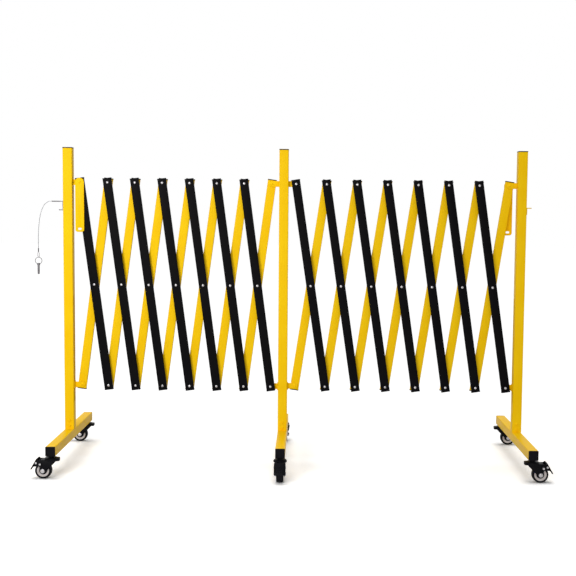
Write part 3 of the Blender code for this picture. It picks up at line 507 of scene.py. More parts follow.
def copy_of(piece, name, place=(0, 0, 0), turn=(0, 0, 0)):
    """A copy with its own mesh, moved and turned about the origin."""
    alone(piece)
    bpy.ops.object.duplicate(linked=False)
    twin = bpy.context.object
    twin.name = name
    return settle(twin, place, turn)


def joined(name, *pieces):
    """Several shapes made one piece."""
    alone(*pieces)
    bpy.ops.object.join()
    pieces[0].name = name
    return pieces[0]


def discard(*masters):
    """Removes the shapes that the pieces were copied from."""
    for master in masters:
        bpy.data.objects.remove(master)


def draw_out(piece, axis, at, way, steps):
    """Draws the flat face at a place out along an axis in steps of (how far in, how far out)."""
    face = [corner.co.copy() for corner in piece.data.vertices if abs(corner.co[axis] - at) < NEAR]
    low, high = [[pick(point[k] for point in face) for k in range(3)] for pick in (min, max)]
    middle = [(a + b) / 2 for a, b in zip(low, high)]
    reach = [(b - a) / 2 for a, b in zip(low, high)]
    choose(piece, "FACE", lambda corners: lies_at(corners, axis, at))
    for inward, outward in steps:
        move = [way * outward if k == axis else 0 for k in range(3)]
        bpy.ops.mesh.extrude_region_move(TRANSFORM_OT_translate={"value": move})
        share = [1 if k == axis else 1 - inward / reach[k] for k in range(3)]
        bpy.ops.transform.resize(value=share, center_override=middle)
        reach = [a * b for a, b in zip(reach, share)]
    close()
    shade()


half = TUBE_WIDTH / 2
foot_end = FOOT_LENGTH / 2
foot_top = FOOT_UNDERSIDE + TUBE_WIDTH
foot_tube = tube(
    "foot_tube",
    (-half, CAP_FLANGE - foot_end, FOOT_UNDERSIDE),
    (half, foot_end - CAP_FLANGE, foot_top),
    1, TUBE_WALL, TUBE_CORNER,
)
foot_cap = block(
    "foot_cap",
    (-half, CAP_ROUND - foot_end, FOOT_UNDERSIDE),
    (half, CAP_FLANGE - foot_end, foot_top),
)
round_edges(foot_cap, 1, TUBE_CORNER, 4)
# The cap's rim is rounded in three steps, and a shallow panel is pressed into its face
CAP_STEPS = (
    (CAP_ROUND * 0.15, CAP_ROUND * 0.5),
    (CAP_ROUND * 0.35, CAP_ROUND * 0.35),
    (CAP_ROUND * 0.5, CAP_ROUND * 0.15),
    (CAP_PANEL_INSET, 0),
    (CAP_PANEL_DEPTH, -CAP_PANEL_DEPTH),
)
draw_out(foot_cap, 1, CAP_ROUND - foot_end, -1, CAP_STEPS)
far_cap = copy_of(foot_cap, "far_cap", turn=(0, 0, math.pi))
foot_caps = joined("foot_caps", foot_cap, far_cap)
# The stem's neck and its pressed ring under the tube
neck = drawn_up(
    "stem_neck",
    [
        (NECK_RADIUS, FOOT_UNDERSIDE - NECK_HEIGHT),
        (NECK_RADIUS, FOOT_UNDERSIDE - NECK_RING_LOW),
        (NECK_RADIUS + NECK_RING, FOOT_UNDERSIDE - NECK_RING_RIM),
        (NECK_RADIUS + NECK_RING, FOOT_UNDERSIDE),
    ],
    32,
)
for side, post_x in STANDS:
    body, place = f"{side}_stand", (post_x, 0, 0)
    twin = copy_of(foot_tube, f"{side}_foot_tube", place)
    dress(twin, powder_yellow, body, "yellow_powder_coat", f"{side}_foot")
    plugs = copy_of(foot_caps, f"{side}_foot_end_plugs", place)
    dress(plugs, black_plastic, body, "black_steel")
    for end, along in (("front", -STEM_PLACE), ("back", STEM_PLACE)):
        twin = copy_of(neck, f"{side}_{end}_stem_neck", (post_x, along, 0))
        dress(twin, black_plastic, body, "black_steel")
discard(foot_tube, foot_caps, neck)

# Posts
# Square posts of the same tube, set over a spigot on each foot and held by two bolts. A slot in
# the side towards each panel guides its slider, and a black moulded cap closes the top.
POST_BOTTOM, POST_TOP = 0.1003, 1.016088
SLOT_LOW, SLOT_HIGH, SLOT_HALF = 0.190, 0.540, 0.005
CUTTER_REACH = 0.004
SHY = 0.0001  # a round end's radius falls this much short of half its width
CAP_LIP = 0.0004
BOLT_PLACES = (0.110, 0.128)
BOLT_HEAD_RADIUS, BOLT_HEAD_HEIGHT = 0.0055, 0.003
# The dome's outline as shares of the head's radius, with heights
BOLT_DOME = (
    (1, 0), (1, 0.0006), (0.90, 0.0016), (0.68, 0.0025), (0.45, BOLT_HEAD_HEIGHT), (0.38, 0.0022)
)
# The nut and the bolt's end in it, as (radius, height)
BOLT_NUT = (
    (0.00517, 0), (0.0055, 0.0004), (0.0055, 0.0021), (0.00484, 0.0024), (0.0030, 0.0024),
    (0.0030, 0.0028), (0.0025, 0.0030),
)
POST_PANELS = {"left": (1,), "centre": (-1, 1), "right": (-1,)}


def domed(name, radius, outline, sides):
    """A head whose outline holds shares of its radius, with heights."""
    return drawn_up(name, [(radius * share, height) for share, height in outline], sides)


def cut_out(piece, cutter):
    """Cuts a cutter's shape out of a piece, and removes the cutter."""
    alone(piece)
    cut = piece.modifiers.new("cut", "BOOLEAN")
    cut.operation, cut.solver, cut.object = "DIFFERENCE", "EXACT", cutter
    bpy.ops.object.modifier_apply(modifier=cut.name)
    bpy.data.objects.remove(cutter)


cap_reach = half + CAP_LIP
cap = block(
    "post_cap",
    (-cap_reach, -cap_reach, POST_TOP - CAP_FLANGE),
    (cap_reach, cap_reach, POST_TOP - CAP_ROUND),
)
round_edges(cap, 2, TUBE_CORNER, 4)
draw_out(cap, 2, POST_TOP - CAP_ROUND, 1, CAP_STEPS)

# A dome head in front, and a nut with the bolt's end behind
dome = domed("dome_head", BOLT_HEAD_RADIUS, BOLT_DOME, 24)
settle(dome, (0, -half, 0), (math.pi / 2, 0, 0))
nut = drawn_up("bolt_nut", BOLT_NUT, 6)
settle(nut, (0, half, 0), (-math.pi / 2, 0, 0))
bolt = joined("post_bolt", dome, nut)

for side, post_x in STANDS:
    body, place = f"{side}_stand", (post_x, 0, 0)
    low, high = (-half, -half, POST_BOTTOM), (half, half, POST_TOP - CAP_FLANGE)
    post = tube(f"{side}_post_tube", low, high, 2, TUBE_WALL, TUBE_CORNER)
    for way in POST_PANELS[side]:
        near, far = sorted((way * (half - CUTTER_REACH), way * (half + CUTTER_REACH)))
        cutter = block("slot_cutter", (near, -SLOT_HALF, SLOT_LOW), (far, SLOT_HALF, SLOT_HIGH))
        round_edges(cutter, 0, SLOT_HALF - SHY, 8)
        cut_out(post, cutter)
    alone(post)
    shade()
    settle(post, place)
    dress(post, powder_yellow, body, "yellow_powder_coat", f"{side}_post")
    dress(copy_of(cap, f"{side}_post_cap", place), black_plastic, body, "black_steel")
    for number, height in enumerate(BOLT_PLACES, start=1):
        twin = copy_of(bolt, f"{side}_post_bolt_{number}", (post_x, 0, height))
        dress(twin, powder_yellow, body, "yellow_powder_coat")
discard(cap, bolt)

# Casters
# Six 50 mm swivel casters. Each has a pressed crown on a ball race, a black coated fork of sheet
# steel, a rubber tyre on a nylon rim, a zinc plated axle bolt and a brake pedal on two rivets.
WHEEL_RADIUS, WHEEL_WIDTH, CASTER_LEAD = 0.025, 0.022, 0.0235
CROWN_RADIUS, CROWN_LOW = 0.021, 0.055
FORK_INNER, FORK_PLATE = 0.013, 0.0025
AXLE_BOSS_RADIUS = 0.0078
# A leg's outline as (x, z): its front edge from the crown down, and its back one up to its ear
LEG_FRONT, LEG_LOW_FRONT = (-0.0170, 0.0555), (0.0179, 0.0196)
LEG_LOW_BACK, LEG_BACK, LEG_EAR_X = (0.0310, 0.0227), (0.0368, 0.0420), 0.0372
LEG_TOP, LEG_EAR_LOW, LEG_FOOT_CORNER, LEG_EAR_CORNER = CROWN_LOW + 0.0045, 0.035, 0.0036, 0.0030
NOSE_FRONT, NOSE_BACK, NOSE_HALF = -0.0255, -0.0120, 0.0115
NOSE_LOW, NOSE_TOP, NOSE_CORNER, NOSE_LIP = CROWN_LOW - 0.0006, CROWN_LOW + 0.0092, 0.0060, 0.0016
BRIDGE_FRONT, BRIDGE_LOW, BRIDGE_TOP = -0.0125, CROWN_LOW - 0.0001, CROWN_LOW + 0.0044
BRIDGE_ROLL = 0.0035
PEDAL_PIVOT, PEDAL_EAR = (0.031, 0.046), 0.0062
PEDAL_TOP, PEDAL_TIP = (0.042, 0.063), (0.061, 0.030)
PEDAL_PLATE, PEDAL_REACH, PEDAL_CORNER = 0.002, 0.0178, 0.0040
PEDAL_EDGE, EDGE_INSET, EDGE_TOP, EDGE_LOW, EDGE_CORNER = 0.0014, 0.0020, -0.0004, -0.0040, 0.0024
RIB_COUNT, RIB_START, RIB_STEP, RIB_WIDTH, RIB_REACH = 5, 0.0100, 0.0052, 0.0016, 0.0128
RIB_SINK, RIB_RISE = 0.0002, 0.0007
SHOE_SHARE = 0.40  # how far down the tread the brake shoe sits
BRAKE_SHOE_HALF, BRAKE_SHOE_LOW, BRAKE_SHOE_TOP = 0.004, -0.0048, -0.0010
SPRING_RIVET = (0.0432, 0.0500)
# The wheel's outlines as (radius, how far in from the tread's side)
TYRE_OUTLINE = (
    (0.0188, 0.0012), (0.0198, 0.0004), (0.0222, 0), (0.0236, 0.0008), (0.0246, 0.0024),
    (WHEEL_RADIUS, 0.0046),
)
RIM_OUTLINE = (
    (0.0187, 0.0020), (0.0182, 0.0009), (0.0166, 0.0006), (0.0150, 0.0014), (0.0128, 0.0032),
    (0.0120, 0.0034),
)
HUB_OUTLINE = (
    (0.0119, 0.0034), (0.0116, 0.0022), (0.0100, 0.0016), (0.0078, 0.0020), (0.0070, -0.0008),
    (0.0060, -0.0012),
)
# Two pressed cups with the race's gap between them, as (out from the crown's radius, height)
CROWN_OUTLINE = (
    (-0.0050, 0), (-0.0012, 0.0010), (0, 0.0030), (0, 0.0056), (-0.0008, 0.0064),
    (-0.0026, 0.0066), (-0.0026, 0.0074), (-0.0012, 0.0077), (-0.0020, 0.0090), (-0.0055, 0.0100),
)
# The axle's nut on its washer, and a rivet's head, as (radius, height)
AXLE_NUT = (
    (0.0064, 0), (0.0064, 0.0007), (0.0053, 0.0008), (0.0054, 0.0012), (0.0054, 0.0028),
    (0.0048, 0.0032), (0.0032, 0.0032), (0.0028, 0.0036),
)
PEDAL_RIVET = ((0.0034, 0), (0.0034, 0.0004), (0.0030, 0.0010), (0.0018, 0.0012))
RIM_LIGHT, RIM_DARK = "#e2d8d4", "#cabfbb"
RUBBER_LIGHT, RUBBER_DARK = "#1a191c", "#0e0d10"
ENAMEL_LIGHT, ENAMEL_DARK = "#0f0f13", "#08080b"
CASTERS = (
    ("left_front", LEFT_POST_X, -STEM_PLACE, math.pi),
    ("left_back", LEFT_POST_X, STEM_PLACE, math.pi),
    ("centre_front", CENTRE_POST_X, -STEM_PLACE, -math.pi / 2),
    ("centre_back", CENTRE_POST_X, STEM_PLACE, math.pi / 2),
    ("right_front", RIGHT_POST_X, -STEM_PLACE, 0),
    ("right_back", RIGHT_POST_X, STEM_PLACE, 0),
)

# Black electrocoat on pressed steel: thin and a little glossy, with faint press marks
black_coat = coat(
    "black_electrocoated_steel", (ENAMEL_DARK, ENAMEL_LIGHT),
    patch=0.015, gloss=(0.24, 0.38), grain=0.0015, relief=0.00006, specular=0.05,
)
# Moulded rubber: matt black with dusty patches and a fine grain
tyre_rubber = coat(
    "black_moulded_rubber", (RUBBER_DARK, RUBBER_LIGHT),
    patch=0.012, gloss=(0.52, 0.68), grain=0.0009, relief=0.00008, specular=0.06,
)
# Natural nylon, moulded: a warm grey with a soft shine
rim_nylon = coat(
    "grey_moulded_nylon", (RIM_DARK, RIM_LIGHT),
    patch=0.012, gloss=(0.34, 0.46), grain=0.0012, relief=0.00003,
)
rim_nylon.node_tree.nodes["Principled BSDF"].inputs["Subsurface Weight"].default_value = 0.05


def soften(piece, width, segments=2, sharp=SHARP):
    """Rounds a piece's sharp edges a little and shades it smooth."""
    alone(piece)
    edge = piece.modifiers.new("edge", "BEVEL")
    edge.width, edge.segments = width, segments
    edge.limit_method, edge.angle_limit = "ANGLE", math.radians(sharp)
    bpy.ops.object.modifier_apply(modifier=edge.name)
    shade(sharp)
    return piece


def mirrored(outline):
    """An outline's points on one side of the wheel, then the same ones on the other."""
    side = [(radius, tread_half - inward) for radius, inward in outline]
    return side + [(radius, -along) for radius, along in reversed(side)]


axle_turn = (-math.pi / 2, 0, 0)
axle_place = (CASTER_LEAD, 0, WHEEL_RADIUS)
tread_half = WHEEL_WIDTH / 2
# A tyre with rounded shoulders, a rim whose bright ring stands proud of its dished web, and a hub
tyre = drawn_up("tyre", mirrored(TYRE_OUTLINE), 48, loop=True)
rim = drawn_up("rim", mirrored(RIM_OUTLINE), 48, loop=True)
hub = drawn_up("hub", mirrored(HUB_OUTLINE), 32)
for part in (tyre, rim, hub):
    settle(part, axle_place, axle_turn)

crown_outline = [(CROWN_RADIUS + out, CROWN_LOW + rise) for out, rise in CROWN_OUTLINE]
crown = drawn_up("crown", crown_outline, 40)
# The fork's nose is a rounded lip in front of the crown
nose = block("nose", (NOSE_FRONT, -NOSE_HALF, NOSE_LOW), (NOSE_BACK, NOSE_HALF, NOSE_TOP))
round_edges(nose, 2, NOSE_CORNER, 6, lambda point: point.x < NOSE_BACK - NEAR)
soften(nose, NOSE_LIP, 4)


def cut_off(piece, start, end):
    """Cuts off what lies on the right of a line from start to end, as (x, z) seen from -Y."""
    open_up(piece)
    bpy.ops.mesh.bisect(
        plane_co=(start[0], 0, start[1]),
        plane_no=(end[1] - start[1], 0, start[0] - end[0]),
        use_fill=True,
        clear_outer=True,
    )
    close()


def leg(side):
    """A fork's leg: a plate cut to its slanting front and back edges, round about the axle."""
    low, high = sorted((side * FORK_INNER, side * (FORK_INNER + FORK_PLATE)))
    boss_low = WHEEL_RADIUS - AXLE_BOSS_RADIUS
    plate = block("leg", (LEG_FRONT[0], low, boss_low), (LEG_EAR_X, high, LEG_TOP))
    cut_off(plate, LEG_FRONT, LEG_LOW_FRONT)
    cut_off(plate, LEG_LOW_BACK, LEG_BACK)
    round_edges(plate, 1, LEG_FOOT_CORNER, 6, lambda point: point.z < boss_low + 0.0008)
    round_edges(
        plate, 1, LEG_EAR_CORNER, 5,
        lambda point: point.z > LEG_EAR_LOW and point.x > LEG_EAR_X - 0.001
    )
    return soften(plate, 0.0005, 2, 40)


# The bridge joins the legs over the wheel, and its back edge is rolled down
bridge_half, bridge_back = FORK_INNER + 0.0004, PEDAL_PIVOT[0] + 0.0010
bridge = block(
    "bridge", (BRIDGE_FRONT, -bridge_half, BRIDGE_LOW), (bridge_back, bridge_half, BRIDGE_TOP)
)
round_edges(bridge, 1, BRIDGE_ROLL, 5, lambda point: point.x > 0 and point.z > CROWN_LOW + 0.002)
soften(bridge, 0.0004, 2, 40)
fork = joined("fork", crown, nose, leg(1), leg(-1), bridge)


def both_ends(name, outline, sides, place):
    """A bolt's or a rivet's end on one side of the caster, and the same one on the other."""
    near = settle(drawn_up(name, outline, sides), place, axle_turn)
    return near, copy_of(near, name, (2 * place[0], 0, 0), (0, 0, math.pi))


outer = FORK_INNER + FORK_PLATE
pin_face = outer + 2 * GAP + PEDAL_PLATE
fork_fasteners = joined(
    "fork_fasteners",
    *both_ends("axle_nut", AXLE_NUT, 24, (CASTER_LEAD, outer, WHEEL_RADIUS)),
    *both_ends("pedal_pin", PEDAL_RIVET, 20, (PEDAL_PIVOT[0], pin_face, PEDAL_PIVOT[1])),
)

# The pedal: a ribbed tread on two cheeks, with the shoe under it that presses on the tyre
run_x, run_z = PEDAL_TIP[0] - PEDAL_TOP[0], PEDAL_TIP[1] - PEDAL_TOP[1]
tread_length = math.hypot(run_x, run_z)
tilt = math.atan2(-run_z, run_x)
tread = block("tread", (0, -PEDAL_REACH, -PEDAL_PLATE), (tread_length, PEDAL_REACH, 0))
round_edges(tread, 2, PEDAL_CORNER, 5, lambda point: point.x > tread_length / 2)
soften(tread, 0.0006, 2, 50)
ribs_and_edges = []
for number in range(RIB_COUNT):
    at = RIB_START + number * RIB_STEP
    rib = block("rib", (at, -RIB_REACH, -RIB_SINK), (at + RIB_WIDTH, RIB_REACH, RIB_RISE))
    ribs_and_edges.append(soften(rib, 0.0005, 2))
# Its side edges are turned down
for low in (-PEDAL_REACH, PEDAL_REACH - PEDAL_EDGE):
    far_corner = (tread_length - EDGE_INSET, low + PEDAL_EDGE, EDGE_TOP)
    edge = block("edge", (EDGE_INSET, low, EDGE_LOW), far_corner)
    round_edges(edge, 1, EDGE_CORNER, 4, lambda point: point.z < EDGE_LOW / 2)
    ribs_and_edges.append(soften(edge, 0.0004, 2))
tread = joined("tread", tread, *ribs_and_edges)
settle(tread, (PEDAL_TOP[0], 0, PEDAL_TOP[1]), (0, tilt, 0))


def cheek(side):
    """The pedal's side plate, from its ear on the pin out to the tread's underside."""
    low, high = sorted((side * (outer + GAP), side * PEDAL_REACH))
    left, bottom = PEDAL_PIVOT[0] - PEDAL_EAR, PEDAL_PIVOT[1] - PEDAL_EAR
    plate = block("cheek", (left, low, bottom), (PEDAL_TIP[0], high, PEDAL_TOP[1]))
    # Under the tread, up from the ear to the tread's top, and from the ear's foot to its tip
    cut_off(plate, PEDAL_TIP, PEDAL_TOP)
    cut_off(plate, (PEDAL_TOP[0] + 0.001, PEDAL_TOP[1] - 0.002), (left, PEDAL_PIVOT[1] + 0.003))
    cut_off(plate, (PEDAL_PIVOT[0] + 0.002, bottom), (PEDAL_TIP[0] - 0.006, PEDAL_TIP[1] + 0.0115))
    round_edges(plate, 1, 0.0030, 5, lambda point: point.x < PEDAL_PIVOT[0] + 0.003)
    return soften(plate, 0.0004, 2, 40)


shoe_x, shoe_z = PEDAL_TOP[0] + run_x * SHOE_SHARE, PEDAL_TOP[1] + run_z * SHOE_SHARE
brake_shoe = block(
    "brake_shoe",
    (-BRAKE_SHOE_HALF, -tread_half, BRAKE_SHOE_LOW),
    (BRAKE_SHOE_HALF, tread_half, BRAKE_SHOE_TOP),
)
soften(brake_shoe, 0.0008, 2)
settle(brake_shoe, (shoe_x, 0, shoe_z), (0, tilt, 0))
pedal = joined("pedal", tread, cheek(1), cheek(-1), brake_shoe)
# The rivet that holds the shoe's spring between the cheeks
spring_place = (SPRING_RIVET[0], PEDAL_REACH - 0.0001, SPRING_RIVET[1])
spring_ends = both_ends("spring_rivet", PEDAL_RIVET, 20, spring_place)
spring_rivet = joined("spring_rivet", *spring_ends)

for name, post_x, along, heading in CASTERS:
    place, turn = (post_x, along, 0), (0, 0, heading)
    for master, piece_name, material, body, slot, nodes in (
        (fork, "fork_shell", black_coat, "fork", "black_steel", ("fork",)),
        (fork_fasteners, "fork_fasteners", zinc_plate, "fork", "bare_steel", ()),
        (tyre, "tyre", tyre_rubber, "wheel", "caster_rubber", ("wheel",)),
        (rim, "rim", rim_nylon, "wheel", "bare_steel", ()),
        (hub, "hub", black_plastic, "wheel", "black_steel", ()),
        (pedal, "pedal_plate", black_coat, "brake_pedal", "black_steel", ("brake_pedal",)),
        (spring_rivet, "spring_rivet", zinc_plate, "brake_pedal", "bare_steel", ()),
    ):
        twin = copy_of(master, f"{name}_{piece_name}", place, turn)
        dress(twin, material, f"{name}_{body}", slot, *[f"{name}_{node}" for node in nodes])
discard(fork, fork_fasteners, tyre, rim, hub, pedal, spring_rivet)

# Top brackets
# Short tabs of flat steel, welded to the posts and coated with them. The top rivets beside the
# posts pass through their round ends.
PIVOT_OFFSET = 0.039656
PLATE_HALF, TAB_HALF, TAB_SINK = 0.00125, 0.0095, 0.0004
BEAD_LENGTH, BEAD_REACH = 0.0022, 0.0015


def tab(name, start):
    """A flat tab along X from start to the origin, with a round end about it."""
    piece = block(name, (start, -PLATE_HALF, -TAB_HALF), (TAB_HALF, PLATE_HALF, TAB_HALF))
    round_edges(piece, 1, TAB_HALF - SHY, 10, lambda point: point.x > 0)
    return soften(piece, 0.0003, 2, 50)


post_face = half - PIVOT_OFFSET
bracket = tab("top_bracket", post_face - TAB_SINK)
# The weld is a bead on each side of the tab's root
for way in (1, -1):
    y = way * PLATE_HALF
    bead = block(
        "bead",
        (post_face, y - BEAD_REACH, -TAB_HALF),
        (post_face + BEAD_LENGTH, y + BEAD_REACH, TAB_HALF),
    )
    soften(bead, 0.0010, 3)
    bracket = joined("top_bracket", bracket, bead)
for side, post_x in STANDS:
    for way in POST_PANELS[side]:
        twin = copy_of(
            bracket,
            f"{side}_top_bracket_{'right' if way > 0 else 'left'}",
            (post_x + way * PIVOT_OFFSET, 0, TOP_PIVOT_HEIGHT),
            (0, 0, 0 if way > 0 else math.pi),
        )
        dress(twin, powder_yellow, f"{side}_stand", "yellow_powder_coat")
discard(bracket)

# Bottom sliders
# Pressed steel brackets with the bottom rivets beside the posts. A shoe runs inside the post, a
# neck passes through the slot, and a flange outside keeps the bracket square to the post.
SHOE_DEPTH, SHOE_WIDTH, SHOE_HEIGHT = 0.0085, 0.020, 0.024
SLIDER_NECK_SIDE, SLIDER_NECK_HIGH, SLIDER_NECK_SINK = 0.0047, 0.008, 0.001
FLANGE, FLANGE_WIDTH, FLANGE_CORNER = 0.0022, 0.018, 0.0025
OVERLAP = 0.0005  # how far a shape reaches into the one that carries it
LEFT_PITCH, RIGHT_PITCH = 0.088103, 0.098394
SLAT_LENGTH = 0.6655
LEFT_LEAN = math.asin(LEFT_PITCH / SLAT_LENGTH)
RIGHT_LEAN = math.asin(RIGHT_PITCH / SLAT_LENGTH)

shoe_face = post_face - TUBE_WALL - GAP
flange_face = post_face + GAP + FLANGE
shoe_high = SHOE_HEIGHT / 2
shoe = block(
    "shoe",
    (shoe_face - SHOE_DEPTH, -SHOE_WIDTH / 2, -shoe_high),
    (shoe_face, SHOE_WIDTH / 2, shoe_high),
)
soften(shoe, 0.0015, 3)
slider_neck = block(
    "slider_neck",
    (shoe_face - SLIDER_NECK_SINK, -SLIDER_NECK_SIDE, -SLIDER_NECK_HIGH),
    (post_face + GAP + OVERLAP, SLIDER_NECK_SIDE, SLIDER_NECK_HIGH),
)
soften(slider_neck, 0.0004, 2)
flange = block(
    "flange",
    (post_face + GAP, -FLANGE_WIDTH / 2, -shoe_high),
    (flange_face, FLANGE_WIDTH / 2, shoe_high),
)
round_edges(flange, 0, FLANGE_CORNER, 4)
soften(flange, 0.0005, 2)
slider = joined("slider", tab("slider_tab", flange_face - OVERLAP), flange, slider_neck, shoe)
for name, post_x, way, lean in (
    ("left_slider", LEFT_POST_X, 1, LEFT_LEAN),
    ("centre_left_slider", CENTRE_POST_X, -1, LEFT_LEAN),
    ("centre_right_slider", CENTRE_POST_X, 1, RIGHT_LEAN),
    ("right_slider", RIGHT_POST_X, -1, RIGHT_LEAN),
):
    height = TOP_PIVOT_HEIGHT - SLAT_LENGTH * math.cos(lean)
    twin = copy_of(
        slider,
        f"{name}_bracket",
        (post_x + way * PIVOT_OFFSET, 0, height),
        (0, 0, 0 if way > 0 else math.pi),
    )
    dress(twin, powder_yellow, name, "yellow_powder_coat", name)
discard(slider)

# Slats
# Flat steel tube with rounded corners, 28 x 10 mm, powder coated black in front and yellow behind.
# A black moulded plug closes each end, and tubular rivets join the layers over nylon spacers.
SLAT_WIDTH, SLAT_DEPTH, SLAT_OVERHANG = 0.028, 0.010, 0.0145
SLAT_WALL, SLAT_CORNER = 0.0011, 0.0018
SLAT_LAYER, SLAT_FACE = 0.00775, 0.00275
PLUG_FLANGE, PLUG_LIP, PLUG_ROUND = 0.0030, 0.0005, 0.0009
PLUG_PANEL_INSET, PLUG_PANEL_DEPTH = 0.0022, 0.0004
RIVET_HEAD_RADIUS, RIVET_HEAD_HEIGHT = 0.0041, 0.0018
# A low dome with the small dimple of a tubular rivet
RIVET_DOME = (
    (1, 0), (1, 0.0004), (0.88, 0.0011), (0.62, 0.0016), (0.38, RIVET_HEAD_HEIGHT), (0.30, 0.0013)
)
SPACER_RADIUS, SPACER_CHAMFER, SPACER_PLAY = 0.0065, 0.0004, 0.0001
WASHER_HEIGHT, WASHER_CHAMFER, WASHER_STEP = 0.0013, 0.0003, 0.0018
SLAT_PAIRS = 7
STRAP_FACE = 0.016
BLACK_LIGHT, BLACK_DARK = "#0d0c0e", "#080709"
NYLON_LIGHT, NYLON_DARK = "#4a4a4c", "#3b3b3d"

# Polyester powder coat in satin black, which shows grey where the light grazes it
powder_black = coat(
    "black_powder_coated_steel", (BLACK_DARK, BLACK_LIGHT),
    patch=0.07, gloss=(0.30, 0.44), grain=0.0022, relief=0.00006, specular=0.025,
)
# Natural nylon spacer, turned grey
nylon = coat(
    "grey_nylon_spacer", (NYLON_DARK, NYLON_LIGHT),
    patch=0.01, gloss=(0.4, 0.5), grain=0.001, relief=0.00002,
)

side_reach, face = SLAT_WIDTH / 2, SLAT_DEPTH / 2
slat_top, slat_low = SLAT_OVERHANG, -SLAT_LENGTH - SLAT_OVERHANG
bar = tube(
    "slat_tube",
    (-side_reach, -face, slat_low + PLUG_FLANGE),
    (side_reach, face, slat_top - PLUG_FLANGE),
    2, SLAT_WALL, SLAT_CORNER,
)
plug_side, plug_face = side_reach + PLUG_LIP, face + PLUG_LIP / 2
plug = block(
    "plug",
    (-plug_side, -plug_face, slat_top - PLUG_FLANGE),
    (plug_side, plug_face, slat_top - PLUG_ROUND),
)
round_edges(plug, 2, SLAT_CORNER, 4)
PLUG_STEPS = (
    (PLUG_ROUND * 0.2, PLUG_ROUND * 0.6),
    (PLUG_ROUND * 0.8, PLUG_ROUND * 0.4),
    (PLUG_PANEL_INSET, 0),
    (PLUG_PANEL_DEPTH, -PLUG_PANEL_DEPTH),
)
draw_out(plug, 2, slat_top - PLUG_ROUND, 1, PLUG_STEPS)
low_plug = copy_of(plug, "low_plug", (0, 0, -SLAT_LENGTH), (0, math.pi, 0))
plugs = joined("slat_plugs", plug, low_plug)

dome = domed("rivet_head", RIVET_HEAD_RADIUS, RIVET_DOME, 20)


def spacer_disc(name, low, high, chamfer):
    """A round nylon spacer between two heights, with chamfered ends."""
    inset = SPACER_RADIUS - chamfer
    rim = [(SPACER_RADIUS, low + chamfer), (SPACER_RADIUS, high - chamfer)]
    return drawn_up(name, [(inset, low), *rim, (inset, high)], 24)


spacer_end = SLAT_FACE - SPACER_PLAY
spacer = spacer_disc("spacer", -spacer_end, spacer_end, SPACER_CHAMFER)
settle(spacer, turn=(-math.pi / 2, 0, 0))
washer = spacer_disc("half_spacer", 0, WASHER_HEIGHT, WASHER_CHAMFER)
FRONT, BEHIND = (math.pi / 2, 0, 0), (-math.pi / 2, 0, 0)
slat_outer = SLAT_FACE + SLAT_DEPTH


def carried(colour, number):
    """The rivets that a slat carries, as how far down the slat each is and whether it goes
    through a bracket at a post."""
    if colour == "black":
        return [(0, number == 1), (1, number == SLAT_PAIRS)]
    rivets = [(0.5, False)]
    if number == SLAT_PAIRS:
        rivets.append((0, True))
    if number == 1:
        rivets.append((1, True))
    return rivets


for panel, start_x, pitch, lean in (
    ("left", LEFT_POST_X + PIVOT_OFFSET, LEFT_PITCH, LEFT_LEAN),
    ("right", CENTRE_POST_X + PIVOT_OFFSET, RIGHT_PITCH, RIGHT_LEAN),
):
    for number in range(1, SLAT_PAIRS + 1):
        for colour, side, top_x, paint in (
            ("black", -1, start_x + (number - 1) * pitch, powder_black),
            ("yellow", 1, start_x + number * pitch, powder_yellow),
        ):
            body = f"{panel}_{colour}_slat_{number}"
            place = (top_x, side * SLAT_LAYER, TOP_PIVOT_HEIGHT)
            turn = (0, side * lean, 0)
            outward = FRONT if side < 0 else BEHIND
            dress(copy_of(bar, f"{body}_tube", place, turn), paint, body, f"{colour}_slats", body)
            end_plugs = copy_of(plugs, f"{body}_end_plugs", place, turn)
            dress(end_plugs, black_plastic, body, "black_steel")
            # Rivets that were set before the yellow coat was sprayed are yellow too
            rivets, coated, spacers = [], [], []
            for share, at_post in carried(colour, number):
                x = top_x - side * pitch * share
                z = TOP_PIVOT_HEIGHT - SLAT_LENGTH * share * math.cos(lean)
                strap = at_post and share == 0 and (panel == "left") == (colour == "black")
                # At a post only this slat and the bracket are on the rivet, and perhaps a strap
                own = STRAP_FACE + 2 * PLATE_HALF if strap else slat_outer
                other = PLATE_HALF if at_post else slat_outer
                near, far = sorted((side * own, -side * other))
                heads = coated if strap or (at_post and colour == "yellow") else rivets
                heads.append(copy_of(dome, "front_head", (x, near, z), FRONT))
                heads.append(copy_of(dome, "back_head", (x, far, z), BEHIND))
                if at_post:
                    layers = [PLATE_HALF]
                    if strap:
                        layers += [slat_outer, slat_outer + WASHER_STEP]
                    for layer in layers:
                        spacers.append(copy_of(washer, "spacer", (x, side * layer, z), outward))
                else:
                    spacers.append(copy_of(spacer, "spacer", (x, 0, z)))
            if rivets:
                dress(joined(f"{body}_rivets", *rivets), zinc_plate, body, "bare_steel")
            if coated:
                painted = joined(f"{body}_coated_rivets", *coated)
                dress(painted, powder_yellow, body, "yellow_slats")
            dress(joined(f"{body}_spacers", *spacers), nylon, body, "black_steel")
discard(bar, plugs, dome, spacer, washer)

# Latch straps
# Flat steel straps, coated yellow, that swing on the end posts' top rivets. The oblong latch hole
# near the lower end serves to keep a folded panel closed.
STRAP_HALF, STRAP_LENGTH, STRAP_CORNER = 0.014, 0.160, 0.008
STRAP_LAYER = STRAP_FACE + PLATE_HALF
STRAP_HOLE_WIDTH, STRAP_HOLE_LENGTH, STRAP_HOLE_EDGE = 0.007, 0.012, 0.0065

